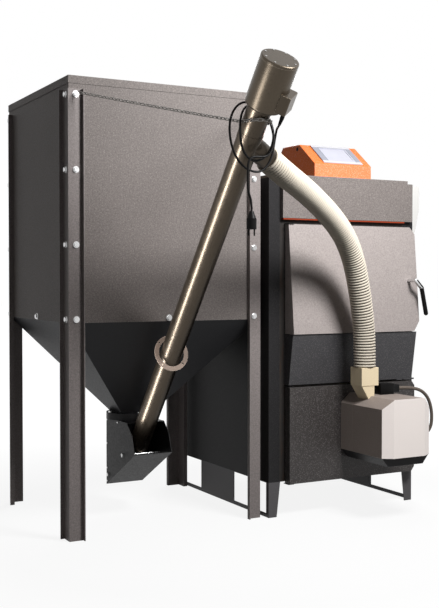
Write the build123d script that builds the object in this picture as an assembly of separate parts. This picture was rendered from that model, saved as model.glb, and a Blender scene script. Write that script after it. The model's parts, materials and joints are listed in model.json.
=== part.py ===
from build123d import *
import math
import os

# A pellet boiler with its pellet hopper, sloping auger conveyor and ribbed feed hose.
# X runs to the right along the fronts, Y to the rear, Z up. Sizes are in millimetres.
# The model is laid out from the front left corner of the hopper, on the floor, and
# moved at the end so that the origin is below the middle of the whole part.

# Sheet metal and running gaps
SHEET = 2
GAP = 0.3
BIG = 5000

# Hopper
HOPPER_WIDTH = 740
HOPPER_DEPTH = 684
BIN_BOTTOM = 733
LEG_TOP = 1513
LEG_FLANGE = 52
LEG_STEEL = 3
LEG_LIP = 14
BIN_TOP = 1556
BIN_RIM = 25
FUNNEL_RIM = 26
MOUTH_SIZE = 124
FUNNEL_BOTTOM = 378

# Lid
LID_SHEET = 1.2
LID_GAP = 1
LID_SKIRT = 25

# Lid hinges
HINGE_PIN_RADIUS = 3
HINGE_KNUCKLE_RADIUS = 5
HINGE_LENGTH = 50
HINGE_INSET = 150
HINGE_LEAF_HEIGHT = 42
HINGE_FIT = 0.05

# Hopper bolts
BOLT_ROWS = 4
BOLT_PITCH = 250
BOLT_FIRST_ROW = 745
BOLT_INSET_FRONT = 27
BOLT_INSET_SIDE = 22
BOLT_RADIUS = 4
BOLT_HEAD_FLATS = 15
BOLT_HEAD_HEIGHT = 6
WASHER_RADIUS = 11
WASHER_THICKNESS = 1.6

# Outlet flange, spout and intake trough
FLANGE_RADIUS = 93
FLANGE_THICKNESS = 12.5
SPOUT_RADIUS = 57
SPOUT_WALL = 3
SPOUT_BOTTOM = 314
FLANGE_SCREW_CIRCLE = 84
FLANGE_SCREW_RADIUS = 4
TROUGH_WIDTH = 150
TROUGH_REAR = 404
TROUGH_HEEL = 95
TROUGH_LIP_Y = 135.5
TROUGH_LIP_Z = 245
TROUGH_SHOULDER = [(160.5, 313), (198, 347)]
TROUGH_TOP_FRONT = 203
CROSS_ROD_RADIUS = 4
CROSS_ROD_STATION = 26

# Auger conveyor, in its own frame: Z up along the tube from its lower end
AUGER_TILT = 51.53
AUGER_FOOT_Y = 289.7
AUGER_FOOT_Z = 236.3
TUBE_RADIUS = 38
TUBE_WALL = 2
HOUSING_BASE = 1469.6
HOUSING_RADIUS = 58
HOUSING_OFFSET = 8
HOUSING_LENGTH = 160
HOUSING_WALL = 3
HOUSING_SHOULDER = 12
CAP_THICKNESS = 9
CAP_ROUND = 4
CAP_SCREWS = 8
CAP_SCREW_RADIUS = 2.8
CAP_SCREW_CIRCLE = 48
COLLAR_BELOW = (107.6, 86.6)
COLLAR_HEIGHT = 1.5
BRANCH_BELOW = 118.4
BRANCH_ANGLE = 58
BRANCH_RADIUS = 34.8
BRANCH_WALL = 2
BRANCH_REACH = 104
BRANCH_INSERT = 45
SHAFT_RADIUS = 12
FLIGHT_RADIUS = 33
FLIGHT_PITCH = 76
FLIGHT_THICKNESS = 3
FLIGHT_START = -78
SHAFT_START = -124
BUSH_LENGTH = 22
BUSH_RADIUS = 19
DRIVE_FLANGE = 9
GEARBOX_RADIUS = 48
GEARBOX_LENGTH = 60
MOTOR_RADIUS = 44
SHAFT_INSERT = 25

# Terminal box on the gearmotor
TERMINAL_ANGLE = 45.5
TERMINAL_REACH = 78
TERMINAL_WIDTH = 71
TERMINAL_START = 15.5
TERMINAL_LENGTH = 58
TERMINAL_CHAMFER = 4
GLAND_RADIUS = 6.5
GLAND_LENGTH = 24
GLAND_OFFSET = 66

# Loose ring lying on the tube
RING_RADIUS = 63.5
RING_HOLE = 47.5
RING_THICKNESS = 3
RING_HEIGHT = 621.6
RING_SEAT_GAP = 0.25

# Support chain
CHAIN_WIRE = 1.6
CHAIN_INNER_LENGTH = 15.3
CHAIN_INNER_WIDTH = 5
CHAIN_BELOW = 53.6
CHAIN_SAG = 1.5

# Mains cord, plug and its route, as places from the middle of the housing's lower end
CORD_RADIUS = 3.5
PLUG_RADIUS = 15
PLUG_NECK_RADIUS = 6
PLUG_NECK = 22
PLUG_LENGTH = 54
PIN_RADIUS = 2.4
PIN_LENGTH = 19
PIN_SPACING = 19
CORD_FIRST_RUN = 26
CORD_LAST_RUN = 36
COIL_START_WAY = (0, 0.33, -0.944)
COIL_POINTS = [
    (81, 51.5, -86.9), (16, 50.5, -188.9), (-79, 47.5, -69.9),
    (-12, 61.5, 25.1), (70, 36.5, -68.9), (2, 34.5, -156.9),
    (-62, 10.5, -80.9), (-4, 52.5, 14.1), (62, 23.5, -80.9),
    (26, 21.5, -143.9),
]
CORD_TAIL = [(-28, 21.5, -143.9), (-29, 23.5, -202.9), (-27, 25.5, -244.9), (-14, 26.5, -275.9)]
PLUG_TOP = (-14, 26.5, -304.9)

# Feed hose. Its route is given in shares of the way from the branch to the adapter.
HOSE_BORE = 70.2
HOSE_RADIUS = 41
HOSE_ROOT_RADIUS = 38.2
HOSE_RIB_PITCH = 10
HOSE_SHARES = [
    (0.2755, 0.2649, 0.0935), (0.4499, 0.4594, 0.1495), (0.6275, 0.6396, 0.2256),
    (0.7717, 0.7798, 0.3161), (0.8716, 0.8799, 0.4325), (0.9318, 0.9342, 0.5762),
    (0.9731, 0.9743, 0.717),
]
HOSE_LAST_RUN = 110
HOSE_FIRST_RUN = 92

# Boiler body. Its X sizes are from its left side, which stands clear of the hopper.
BOILER_CLEARANCE = 21
BODY_LEFT = 0
BODY_RIGHT = 663
BODY_FRONT = -26
BODY_REAR = 761
BODY_BOTTOM = 130
BODY_TOP = 1252
FLANGE_STRIP = 46
VESSEL_STEEL = 5
WOOL = 36
FIRE_DOOR_STEEL = 6

# Fire chambers: limits in X, Y and Z
CHAMBER_LEFT = 111
CHAMBER_RIGHT = BODY_RIGHT - 72
CHAMBER_REAR = 640
LOWER_CHAMBER = (160, 462)
UPPER_CHAMBER = (700, 1056)
THROAT_DEPTH = 300
FLUE_RADIUS = 80
FLUE_WALL = 3
FLUE_SLEEVE_RADIUS = 84
FLUE_HEIGHT = 940
FLUE_REACH = 60
SOCKET_RADIUS = 24
SOCKET_BORE = 20
SOCKET_REACH = 40
SOCKET_OFFSET = 150
WELD_FIT = 0.05
FLOW_HEIGHT = 1180
RETURN_HEIGHT = 230
BAFFLES = 4
BAFFLE_STEEL = 6
ASH_PAN_HEIGHT = 60

# Base of the boiler
BASE_STEEL = 3
BASE_RAIL = 15
WINDOW_FRONT = (-7, 237)
WINDOW_REAR = (516, 744)
FOOT_TOP = 50
FOOT_BOTTOM = 35

# Front covers
FASCIA_X = (49, BODY_RIGHT - 15)
FASCIA_FRONT = -45
FASCIA_BOTTOM = 1104
TRIM_X = (52, BODY_RIGHT - 54)
TRIM_HEIGHT = 5
COVER_X = (11, BODY_RIGHT - 39)
COVER_TOP = 1264
UPPER_DOOR_X = (67, FASCIA_X[1])
UPPER_DOOR_TOP = 1082
UPPER_DOOR_BOTTOM = 678
UPPER_DOOR_TOP_Y = -55
UPPER_DOOR_BOTTOM_Y = -93
CORNER_TOP = (22, 26)
CORNER_BOTTOM = (27, 39)
PANEL_X = (66, BODY_RIGHT - 28)
PANEL_TOP = 675
PANEL_BOTTOM = 490
PANEL_TOP_Y = -88
PANEL_BOTTOM_Y = -59
LOWER_DOOR_X = (UPPER_DOOR_X[0], BODY_RIGHT - 18)
LOWER_DOOR_TOP = 481
LOWER_DOOR_BOTTOM = 125
LOWER_DOOR_Y = -65
LOWER_CORNER = (14, 18)
DOOR_GAP = 5
HINGE_X = 77
HINGE_Y = -48
DOOR_PIN_RADIUS = 5
DOOR_BRACKET = 12
BRACKET_STEEL = 2.4
SEAL = 10
GAP_TABS = ((BODY_RIGHT - 100, BODY_RIGHT - 74), (BODY_RIGHT - 67, BODY_RIGHT - 16))

# Door handles: a bent lever on a pivot shaft, with a latch finger behind the cover
HANDLE_RADIUS = 8.5
HANDLE_STANDOFF = 46
HANDLE_PIVOT_X = BODY_RIGHT - 59
UPPER_HANDLE_Z = 875
LOWER_HANDLE_Z = 380
LEVER_BEND = (29, -29)
LEVER_END = (51, -128)
SHAFT_PIN_RADIUS = 7
FINGER_LENGTH = 34
FINGER_SIZE = 8
KEEPER_STEEL = 3

# Controller on the top cover
CONTROL_X = (207, 468)
CONTROL_PROFILE = [(-15, 1264), (-15, 1315), (92, 1397), (212, 1398), (231, 1375), (231, 1264)]
BEZEL_X = (251, 431)
BEZEL_HEIGHT = 5
BEZEL_ENDS = (6, 4)
SCREEN_X = (285, 399)
SCREEN_ENDS = (30, 26)
SCREEN_SINK = 2

# Burner on the lower door
BURNER_X = (294, 508)
BURNER_FRONT = -340
BURNER_SEAM = -138
BURNER_BOTTOM = 240
BURNER_TOP = 450
BURNER_TOP_CHAMFER = (39, 35)
BURNER_SIDE_CHAMFER = (37, 23)
TRAY_BOTTOM = 208
TRAY_TAPER = 26
FLAME_RADIUS = 62
FLAME_HEIGHT = 318
FLAME_REACH = 215
FAN_RADIUS = 60
FAN_DEPTH = 34
FAN_GAP = 6
FAN_Y = -300
FAN_BLADES = 8
FAN_HUB = 16
FAN_SHAFT = 5
ADAPTER_X = (290, 366)
ADAPTER_Y = (-202, -132)
ADAPTER_Z = (488, 555)
CHUTE_NARROW = 349
CHUTE_MOUTH = 12
ADAPTER_WALL = 6
CONNECTOR_X = (389, 451)
CONNECTOR_Y = (-185, -140)
CONNECTOR_Z = (450, 490)
PLUG_INSERT = 16
PLUG_HALF = 14

# Braided cable of the burner
CABLE_RADIUS = 6.5
CABLE_GLAND_WALL = 3
CABLE_ROUTE = [(557, -168, 470), (623, -166, 440), (653, -163, 372), (657, -150, 290),
               (597, -108, 252)]
CABLE_START = (479, -168, 470)
CABLE_END = (526, -108, 252)

# Pale cover on the right side
SIDE_COVER_DEPTH = 41
SIDE_COVER_Y = (-16, 70)
SIDE_COVER_Z = (1066, 1250)
SIDE_COVER_ROUND = 12

CORD_NODES = ["power_cord", "power_cord_coil", "power_plug", "feed_hose", "burner_cable"]

# Values that follow from the ones above
MID_X = HOPPER_WIDTH / 2
MID_Y = HOPPER_DEPTH / 2
LID_TOP = BIN_TOP + LID_SHEET
TILT = math.radians(AUGER_TILT)
AUGER = Plane(
    origin=(MID_X, AUGER_FOOT_Y, AUGER_FOOT_Z),
    x_dir=(1, 0, 0),
    z_dir=(0, -math.cos(TILT), math.sin(TILT)),
)
HOUSING_TOP = HOUSING_BASE + HOUSING_LENGTH
HEAD = AUGER.from_local_coords(Vector(0, 0, HOUSING_BASE))
BRANCH_STATION = HOUSING_BASE - BRANCH_BELOW
FLIGHT_TURNS = round((BRANCH_STATION - FLIGHT_START) / FLIGHT_PITCH)
COIL = [HEAD + Vector(*point) for point in COIL_POINTS]
TAIL = [HEAD + Vector(*point) for point in CORD_TAIL]
PLUG = HEAD + Vector(*PLUG_TOP)
BOILER_X = HOPPER_WIDTH + BOILER_CLEARANCE
BASE = (Align.CENTER, Align.CENTER, Align.MIN)
MIDDLE_X = (BURNER_X[0] + BURNER_X[1]) / 2
MIDDLE_X_CHAMBER = (CHAMBER_LEFT + CHAMBER_RIGHT) / 2


def block(x, y, z):
    """Box between pairs of limits."""
    centre = [(low + high) / 2 for low, high in (x, y, z)]
    size = [high - low for low, high in (x, y, z)]
    return Pos(*centre) * Box(*size)


def drum(radius, start, end, bore=0):
    """Cylinder along Z from start to end, with a bore where one is given."""
    body = Pos(0, 0, start) * Cylinder(radius, end - start, align=BASE)
    if bore:
        body -= Pos(0, 0, start) * Cylinder(bore, end - start, align=BASE)
    return body


def rod(start, end, radius):
    """Round bar between two points."""
    along = Vector(*end) - Vector(*start)
    return Plane(origin=start, z_dir=along) * drum(radius, 0, along.length)


def prism_x(outline, x):
    """Outline of (Y, Z) points drawn out along X."""
    face = Plane.YZ.offset(x[0]) * Polygon(*outline, align=None)
    return extrude(face, amount=x[1] - x[0], dir=(1, 0, 0))


def prism_y(outline, y):
    """Outline of (X, Z) points drawn out along Y."""
    face = Plane.XZ.offset(-y[0]) * Polygon(*outline, align=None)
    return extrude(face, amount=y[1] - y[0], dir=(0, 1, 0))


def prism_z(outline, z):
    """Outline of (X, Y) points drawn out along Z."""
    face = Plane.XY.offset(z[0]) * Polygon(*outline, align=None)
    return extrude(face, amount=z[1] - z[0], dir=(0, 0, 1))


def group(shapes):
    """Separate solids kept together in one node."""
    return Compound([solid for shape in shapes for solid in shape.solids()])


def inset(limits, wall):
    """Limits moved in by a wall on both sides."""
    return (limits[0] + wall, limits[1] - wall)


# Hopper


def leg(flip_x, flip_y):
    """Angle leg with folded lips at one corner of the hopper."""
    f, t, lip = LEG_FLANGE, LEG_STEEL, LEG_LIP
    outline = [(0, 0), (f - t, 0), (f - t, -lip), (f, -lip), (f, t), (t, t), (t, f)]
    outline += [(-lip, f), (-lip, f - t), (0, f - t)]
    placed = []
    for x, y in outline:
        placed.append((HOPPER_WIDTH - x if flip_x else x, HOPPER_DEPTH - y if flip_y else y))
    body = prism_z(placed, (0, LEG_TOP))
    for place, *_ in bolt_places():
        body -= place * drum(BOLT_RADIUS + GAP, -LEG_STEEL - GAP, GAP)
    return body


def bolt_places():
    """Places of the hopper's bolts, each with its grip, on the outer faces."""
    places = []
    for row in range(BOLT_ROWS):
        z = BOLT_FIRST_ROW + row * BOLT_PITCH
        grip = LEG_STEEL + SHEET + (SHEET if row == 0 else 0)
        for x in (BOLT_INSET_FRONT, HOPPER_WIDTH - BOLT_INSET_FRONT):
            places.append((Plane(origin=(x, 0, z), z_dir=(0, -1, 0)), grip))
            places.append((Plane(origin=(x, HOPPER_DEPTH, z), z_dir=(0, 1, 0)), grip))
        for y in (BOLT_INSET_SIDE, HOPPER_DEPTH - BOLT_INSET_SIDE):
            places.append((Plane(origin=(0, y, z), z_dir=(-1, 0, 0)), grip))
            places.append((Plane(origin=(HOPPER_WIDTH, y, z), z_dir=(1, 0, 0)), grip))
    z = BOLT_FIRST_ROW
    wall = LEG_STEEL
    grip = 2 * SHEET
    places.append((Plane(origin=(MID_X, wall, z), z_dir=(0, -1, 0)), grip))
    places.append((Plane(origin=(MID_X, HOPPER_DEPTH - wall, z), z_dir=(0, 1, 0)), grip))
    places.append((Plane(origin=(wall, MID_Y, z), z_dir=(-1, 0, 0)), grip))
    places.append((Plane(origin=(HOPPER_WIDTH - wall, MID_Y, z), z_dir=(1, 0, 0)), grip))
    return places


def bolt_holes(shape):
    """Cuts the holes of the hopper's bolts into a wall."""
    for place, grip in bolt_places():
        shape -= place * drum(BOLT_RADIUS + GAP, -grip - SHEET, GAP)
    return shape


def hopper_bolt(grip):
    """Bolt with washer outside and nut inside, its head along +Z."""
    hexagon = RegularPolygon(BOLT_HEAD_FLATS / 2, 6, major_radius=False)
    head = Pos(0, 0, WASHER_THICKNESS) * extrude(hexagon, amount=BOLT_HEAD_HEIGHT, dir=(0, 0, 1))
    nut = Pos(0, 0, -grip - BOLT_HEAD_HEIGHT) * extrude(hexagon, amount=BOLT_HEAD_HEIGHT, dir=(0, 0, 1))
    washer = drum(WASHER_RADIUS, 0, WASHER_THICKNESS)
    shank = drum(BOLT_RADIUS, -grip - BOLT_HEAD_HEIGHT, WASHER_THICKNESS)
    return head + washer + shank + nut


def hopper_bolts():
    return group([place * hopper_bolt(grip) for place, grip in bolt_places()])


def bin_limits():
    """Outer limits of the bin in X and Y, inside the legs."""
    return (LEG_STEEL, HOPPER_WIDTH - LEG_STEEL), (LEG_STEEL, HOPPER_DEPTH - LEG_STEEL)


def hopper_bin():
    x, y = bin_limits()
    body = block(x, y, (BIN_BOTTOM, BIN_TOP))
    body -= block(inset(x, SHEET), inset(y, SHEET), (BIN_BOTTOM - SHEET, BIN_TOP - SHEET))
    body -= block(inset(x, BIN_RIM), inset(y, BIN_RIM), (BIN_BOTTOM, BIN_TOP + SHEET))
    return bolt_holes(body)


def pyramid(x, y, mouth, top, bottom):
    """Four sided funnel form from the bin's outline down to the square mouth."""
    upper = Plane.XY.offset(top) * Pos(MID_X, MID_Y) * Rectangle(x[1] - x[0], y[1] - y[0])
    lower = Plane.XY.offset(bottom) * Pos(MID_X, MID_Y) * Rectangle(mouth, mouth)
    return loft([lower, upper], ruled=True)


def hopper_funnel():
    x, y = bin_limits()
    slope = math.atan2(BIN_BOTTOM - FUNNEL_BOTTOM, (x[1] - x[0] - MOUTH_SIZE) / 2)
    wall = SHEET / math.sin(slope)
    body = pyramid(x, y, MOUTH_SIZE, BIN_BOTTOM, FUNNEL_BOTTOM)
    body -= pyramid(inset(x, wall), inset(y, wall), MOUTH_SIZE - 2 * wall, BIN_BOTTOM, FUNNEL_BOTTOM)
    rim = block(inset(x, SHEET), inset(y, SHEET), (BIN_BOTTOM, BIN_BOTTOM + FUNNEL_RIM))
    rim -= block(inset(x, 2 * SHEET), inset(y, 2 * SHEET), (BIN_BOTTOM, BIN_BOTTOM + FUNNEL_RIM))
    return bolt_holes(body + rim)


def lid_limits():
    """Outer limits of the lid in X and Y, its skirt outside the bin."""
    x, y = bin_limits()
    return inset(x, -LID_GAP - LID_SHEET), inset(y, -LID_GAP - LID_SHEET)


def hopper_lid():
    x, y = lid_limits()
    body = block(x, y, (BIN_TOP - LID_SKIRT, LID_TOP))
    body -= block(inset(x, LID_SHEET), inset(y, LID_SHEET), (BIN_TOP - LID_SKIRT, BIN_TOP))
    return body


def lid_hinge_axis():
    """Y and Z of the lid's hinge axis, behind and just below the skirt."""
    y = lid_limits()[1][1] + SHEET + HINGE_KNUCKLE_RADIUS
    return y, BIN_TOP - LID_SKIRT - HINGE_PIN_RADIUS


def lid_hinge_fixed():
    """Leaves on the bin's rear wall, with their outer knuckles and the pins."""
    y, z = lid_hinge_axis()
    wall = bin_limits()[1][1]
    third = HINGE_LENGTH / 6
    leaves = []
    for x in (HINGE_INSET, HOPPER_WIDTH - HINGE_INSET):
        ends = (x - HINGE_LENGTH / 2, x + HINGE_LENGTH / 2)
        leaf = block(ends, (wall, wall + SHEET), (z - HINGE_LEAF_HEIGHT, z - HINGE_KNUCKLE_RADIUS))
        leaf += block(ends, (wall, y), (z - HINGE_KNUCKLE_RADIUS - SHEET, z - HINGE_KNUCKLE_RADIUS + 1))
        leaf -= block((x - third - GAP, x + third + GAP), (wall + SHEET, y),
                      (z - HINGE_KNUCKLE_RADIUS - GAP, z))
        for start, end in ((ends[0], x - third - GAP), (x + third + GAP, ends[1])):
            leaf += rod((start, y, z), (end, y, z), HINGE_KNUCKLE_RADIUS)
        leaf += rod((ends[0], y, z), (ends[1], y, z), HINGE_PIN_RADIUS)
        leaves.append(leaf)
    return group(leaves)


def lid_hinge_moving():
    """Leaves on the lid's rear skirt, with the middle knuckles."""
    y, z = lid_hinge_axis()
    wall = lid_limits()[1][1]
    third = HINGE_LENGTH / 6
    bore = HINGE_PIN_RADIUS + HINGE_FIT
    leaves = []
    for x in (HINGE_INSET, HOPPER_WIDTH - HINGE_INSET):
        ends = (x - HINGE_LENGTH / 2, x + HINGE_LENGTH / 2)
        leaf = block(ends, (wall, wall + SHEET), (z + HINGE_KNUCKLE_RADIUS + GAP, BIN_TOP))
        leaf += block((x - third, x + third), (wall, wall + SHEET), (z, BIN_TOP))
        leaf += block((x - third, x + third), (wall, y), (z, z + HINGE_KNUCKLE_RADIUS))
        leaf += rod((x - third, y, z), (x + third, y, z), HINGE_KNUCKLE_RADIUS)
        leaf -= rod((x - third - 1, y, z), (x + third + 1, y, z), bore)
        leaves.append(leaf)
    return group(leaves)


# Outlet, spout and intake trough


def on_outlet(shape):
    """Places a round piece on the outlet's upright axis."""
    return Pos(MID_X, MID_Y, 0) * shape


def flange_screw_places():
    return [
        (FLANGE_SCREW_CIRCLE * math.cos(turn), FLANGE_SCREW_CIRCLE * math.sin(turn))
        for turn in [math.radians(90 * quarter) for quarter in range(4)]
    ]


def funnel_flange():
    low = FUNNEL_BOTTOM - FLANGE_THICKNESS
    body = drum(FLANGE_RADIUS, low, FUNNEL_BOTTOM, bore=SPOUT_RADIUS - SPOUT_WALL)
    for x, y in flange_screw_places():
        body -= Pos(x, y) * drum(FLANGE_SCREW_RADIUS + GAP, low, FUNNEL_BOTTOM)
    return on_outlet(body)


def trough_top():
    return FUNNEL_BOTTOM - 2 * FLANGE_THICKNESS


def trough_flange():
    high = FUNNEL_BOTTOM - FLANGE_THICKNESS
    body = drum(FLANGE_RADIUS, trough_top(), high) + drum(SPOUT_RADIUS, SPOUT_BOTTOM, high)
    body -= drum(SPOUT_RADIUS - SPOUT_WALL, SPOUT_BOTTOM, high)
    for x, y in flange_screw_places():
        body -= Pos(x, y) * drum(FLANGE_SCREW_RADIUS + GAP, trough_top() + SHEET, high)
    return on_outlet(body)


def trough_floor(y):
    """Height of the trough's sloping floor, outside, at a place in Y."""
    fall = (TROUGH_LIP_Z - TROUGH_HEEL) / (TROUGH_REAR - TROUGH_LIP_Y)
    return TROUGH_HEEL + (TROUGH_REAR - y) * fall


def trough_limits():
    return (MID_X - TROUGH_WIDTH / 2, MID_X + TROUGH_WIDTH / 2)


def intake_trough():
    x = trough_limits()
    top = trough_top()
    outline = [(TROUGH_REAR, top), (TROUGH_REAR, TROUGH_HEEL), (TROUGH_LIP_Y, TROUGH_LIP_Z)]
    outline += TROUGH_SHOULDER + [(TROUGH_TOP_FRONT, top)]
    outer = prism_x(outline, x)
    rear = TROUGH_REAR - SHEET
    slope = math.atan2(TROUGH_LIP_Z - TROUGH_HEEL, TROUGH_REAR - TROUGH_LIP_Y)
    rise = SHEET / math.cos(slope)
    front = TROUGH_LIP_Y - 4 * SHEET
    hollow = [(rear, top - SHEET), (rear, trough_floor(rear) + rise)]
    hollow += [(front, trough_floor(front) + rise), (front, top - SHEET)]
    body = outer - prism_x(hollow, inset(x, SHEET))
    body -= on_outlet(drum(SPOUT_RADIUS + GAP, top - 2 * SHEET, top + SHEET))
    body -= AUGER * drum(TUBE_RADIUS + 2, 0, BRANCH_STATION)
    bush_end = SHAFT_START + BUSH_LENGTH
    bush = drum(BUSH_RADIUS, SHAFT_START, bush_end)
    bush += block((-BUSH_RADIUS / 2, BUSH_RADIUS / 2), (-3 * BUSH_RADIUS, 0), (SHAFT_START, bush_end))
    body += (AUGER * bush) & outer
    body -= AUGER * drum(SHAFT_RADIUS + HINGE_FIT, SHAFT_START - 1, bush_end + 1)
    for start, end in trough_rods():
        body -= rod(start, end, CROSS_ROD_RADIUS + GAP)
    return body


def trough_rods():
    """Ends of the cross rod under the tube and of the stay rod near the rear wall."""
    low, high = trough_limits()
    drop = TUBE_RADIUS + CROSS_ROD_RADIUS + GAP
    y = AUGER_FOOT_Y - CROSS_ROD_STATION * math.cos(TILT) - drop * math.sin(TILT)
    z = AUGER_FOOT_Z + CROSS_ROD_STATION * math.sin(TILT) - drop * math.cos(TILT)
    rear = TROUGH_REAR - 5 * CROSS_ROD_RADIUS
    stay = TROUGH_HEEL + 10 * CROSS_ROD_RADIUS
    return [((low, y, z), (high, y, z)), ((low, rear, stay), (high, rear, stay))]


def feeder_fasteners():
    """Screws of the outlet flanges, and the trough's rods with a head at each end."""
    pieces = []
    head = RegularPolygon(BOLT_HEAD_FLATS / 2 - 1, 6, major_radius=False)
    for x, y in flange_screw_places():
        screw = drum(FLANGE_SCREW_RADIUS, trough_top() + 2 * SHEET, FUNNEL_BOTTOM + 1)
        screw += Pos(0, 0, FUNNEL_BOTTOM) * extrude(head, amount=BOLT_HEAD_HEIGHT, dir=(0, 0, 1))
        pieces.append(on_outlet(Pos(x, y) * screw))
    for start, end in trough_rods():
        bar = rod(start, end, CROSS_ROD_RADIUS)
        for tip, way in ((start, -1), (end, 1)):
            face = Plane(origin=tip, z_dir=(way, 0, 0))
            bar += face * extrude(head, amount=BOLT_HEAD_HEIGHT, dir=(0, 0, 1))
        pieces.append(bar)
    return group(pieces)


# Auger conveyor, drawn along its own Z axis


def branch_plane():
    """Plane on the auger's axis whose Z axis runs out along the branch."""
    turn = math.radians(BRANCH_ANGLE)
    return Plane(origin=(0, 0, BRANCH_STATION), x_dir=(0, 1, 0),
                 z_dir=(math.sin(turn), 0, -math.cos(turn)))


def auger_tube():
    top = HOUSING_BASE + HOUSING_WALL
    body = drum(TUBE_RADIUS, 0, top)
    body += drum(TUBE_RADIUS + COLLAR_HEIGHT, *[HOUSING_BASE - below for below in COLLAR_BELOW])
    branch = branch_plane()
    body += branch * drum(BRANCH_RADIUS, 0, BRANCH_REACH + BRANCH_INSERT)
    body -= branch * drum(BRANCH_RADIUS - BRANCH_WALL, 0, BRANCH_REACH + BRANCH_INSERT + 1)
    body -= drum(TUBE_RADIUS - TUBE_WALL, -1, top + 1)
    return AUGER * body


def auger_screw():
    """Shaft with one long flight round it, two steel pieces that turn together."""
    shaft = drum(SHAFT_RADIUS, SHAFT_START, HOUSING_BASE + HOUSING_WALL + SHAFT_INSERT)
    inner = SHAFT_RADIUS + HINGE_FIT
    middle = (inner + FLIGHT_RADIUS) / 2
    path = Helix(FLIGHT_PITCH, FLIGHT_PITCH * FLIGHT_TURNS, middle)
    start = Plane(origin=path @ 0, x_dir=(1, 0, 0), z_dir=(0, 1, 0))
    section = start * Rectangle(FLIGHT_RADIUS - inner, FLIGHT_THICKNESS)
    flight = sweep(section, path=path, is_frenet=True)
    return group([AUGER * shaft, AUGER * Pos(0, 0, FLIGHT_START) * flight])


def on_motor(shape):
    """Places a piece on the motor's axis, which lies beside the auger's."""
    return AUGER * Pos(HOUSING_OFFSET, 0, 0) * shape


def round_footed(radius, start, end, rounding):
    """Drum whose lower edge is rounded."""
    body = drum(radius, start, end)
    low_edge = body.edges().filter_by(GeomType.CIRCLE).sort_by(Axis.Z)[0]
    return fillet(low_edge, rounding)


def gearmotor_housing():
    """Can with a rounded shoulder, open at its upper end."""
    body = round_footed(HOUSING_RADIUS, HOUSING_BASE, HOUSING_TOP - CAP_THICKNESS, HOUSING_SHOULDER)
    inside = HOUSING_RADIUS - HOUSING_WALL
    body -= round_footed(inside, HOUSING_BASE + HOUSING_WALL, HOUSING_TOP, HOUSING_SHOULDER - HOUSING_WALL)
    body -= Pos(-HOUSING_OFFSET, 0, 0) * drum(TUBE_RADIUS + HINGE_FIT, HOUSING_BASE - 1, HOUSING_BASE + HOUSING_WALL)
    return on_motor(body)


def gearmotor_drive():
    """Gearbox and motor in one casting, its flange on the housing's floor."""
    low = HOUSING_BASE + HOUSING_WALL
    flange = low + DRIVE_FLANGE
    gearbox = flange + GEARBOX_LENGTH
    top = HOUSING_TOP - CAP_THICKNESS - DRIVE_FLANGE
    shoulder = HOUSING_RADIUS - HOUSING_SHOULDER
    body = drum(shoulder, low, flange)
    body += drum(GEARBOX_RADIUS, flange, gearbox)
    body += drum(MOTOR_RADIUS, gearbox, top)
    body -= Pos(-HOUSING_OFFSET, 0, 0) * drum(SHAFT_RADIUS + HINGE_FIT, low, low + SHAFT_INSERT + 1)
    return on_motor(body)


def gearmotor_cap():
    body = drum(HOUSING_RADIUS, HOUSING_TOP - CAP_THICKNESS, HOUSING_TOP)
    rim = body.edges().filter_by(GeomType.CIRCLE).sort_by(Axis.Z)[-1]
    body = fillet(rim, CAP_ROUND)
    for x, y in cap_screw_places():
        body -= Pos(x, y) * drum(CAP_SCREW_RADIUS / 2 + GAP, HOUSING_TOP - CAP_THICKNESS / 2, HOUSING_TOP)
    return on_motor(body)


def cap_screw_places():
    turns = [2 * math.pi * number / CAP_SCREWS for number in range(CAP_SCREWS)]
    return [(CAP_SCREW_CIRCLE * math.cos(turn), CAP_SCREW_CIRCLE * math.sin(turn)) for turn in turns]


def gearmotor_screws():
    screws = []
    for x, y in cap_screw_places():
        screw = drum(CAP_SCREW_RADIUS, HOUSING_TOP, HOUSING_TOP + CAP_SCREW_RADIUS / 2)
        screw += drum(CAP_SCREW_RADIUS / 2, HOUSING_TOP - CAP_THICKNESS / 3, HOUSING_TOP)
        screws.append(on_motor(Pos(x, y) * screw))
    return group(screws)


def terminal_limits():
    low = HOUSING_BASE + TERMINAL_START
    return low, low + TERMINAL_LENGTH


def terminal_box():
    """Box on the side of the motor's can, its outer edges chamfered."""
    low, high = terminal_limits()
    half = TERMINAL_WIDTH / 2
    cut = TERMINAL_CHAMFER
    inner = HOUSING_RADIUS / 2
    outline = [(inner, -half), (TERMINAL_REACH - cut, -half), (TERMINAL_REACH, cut - half)]
    outline += [(TERMINAL_REACH, half - cut), (TERMINAL_REACH - cut, half), (inner, half)]
    body = prism_z(outline, (low, high)) - drum(HOUSING_RADIUS, low - 1, high + 1)
    return on_motor(Rot(0, 0, -TERMINAL_ANGLE) * body)


def gland_axis():
    """Plane at the lower end of the cord gland, its Z axis along the cord as it leaves."""
    low = terminal_limits()[0]
    turn = math.radians(-TERMINAL_ANGLE)
    x = HOUSING_OFFSET + GLAND_OFFSET * math.cos(turn)
    y = GLAND_OFFSET * math.sin(turn)
    tip = AUGER.from_local_coords(Vector(x, y, low - GLAND_LENGTH))
    return Plane(origin=tip, z_dir=AUGER.z_dir * -1)


def power_cord_gland():
    return gland_axis() * drum(GLAND_RADIUS, -GLAND_LENGTH, 0)


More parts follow.
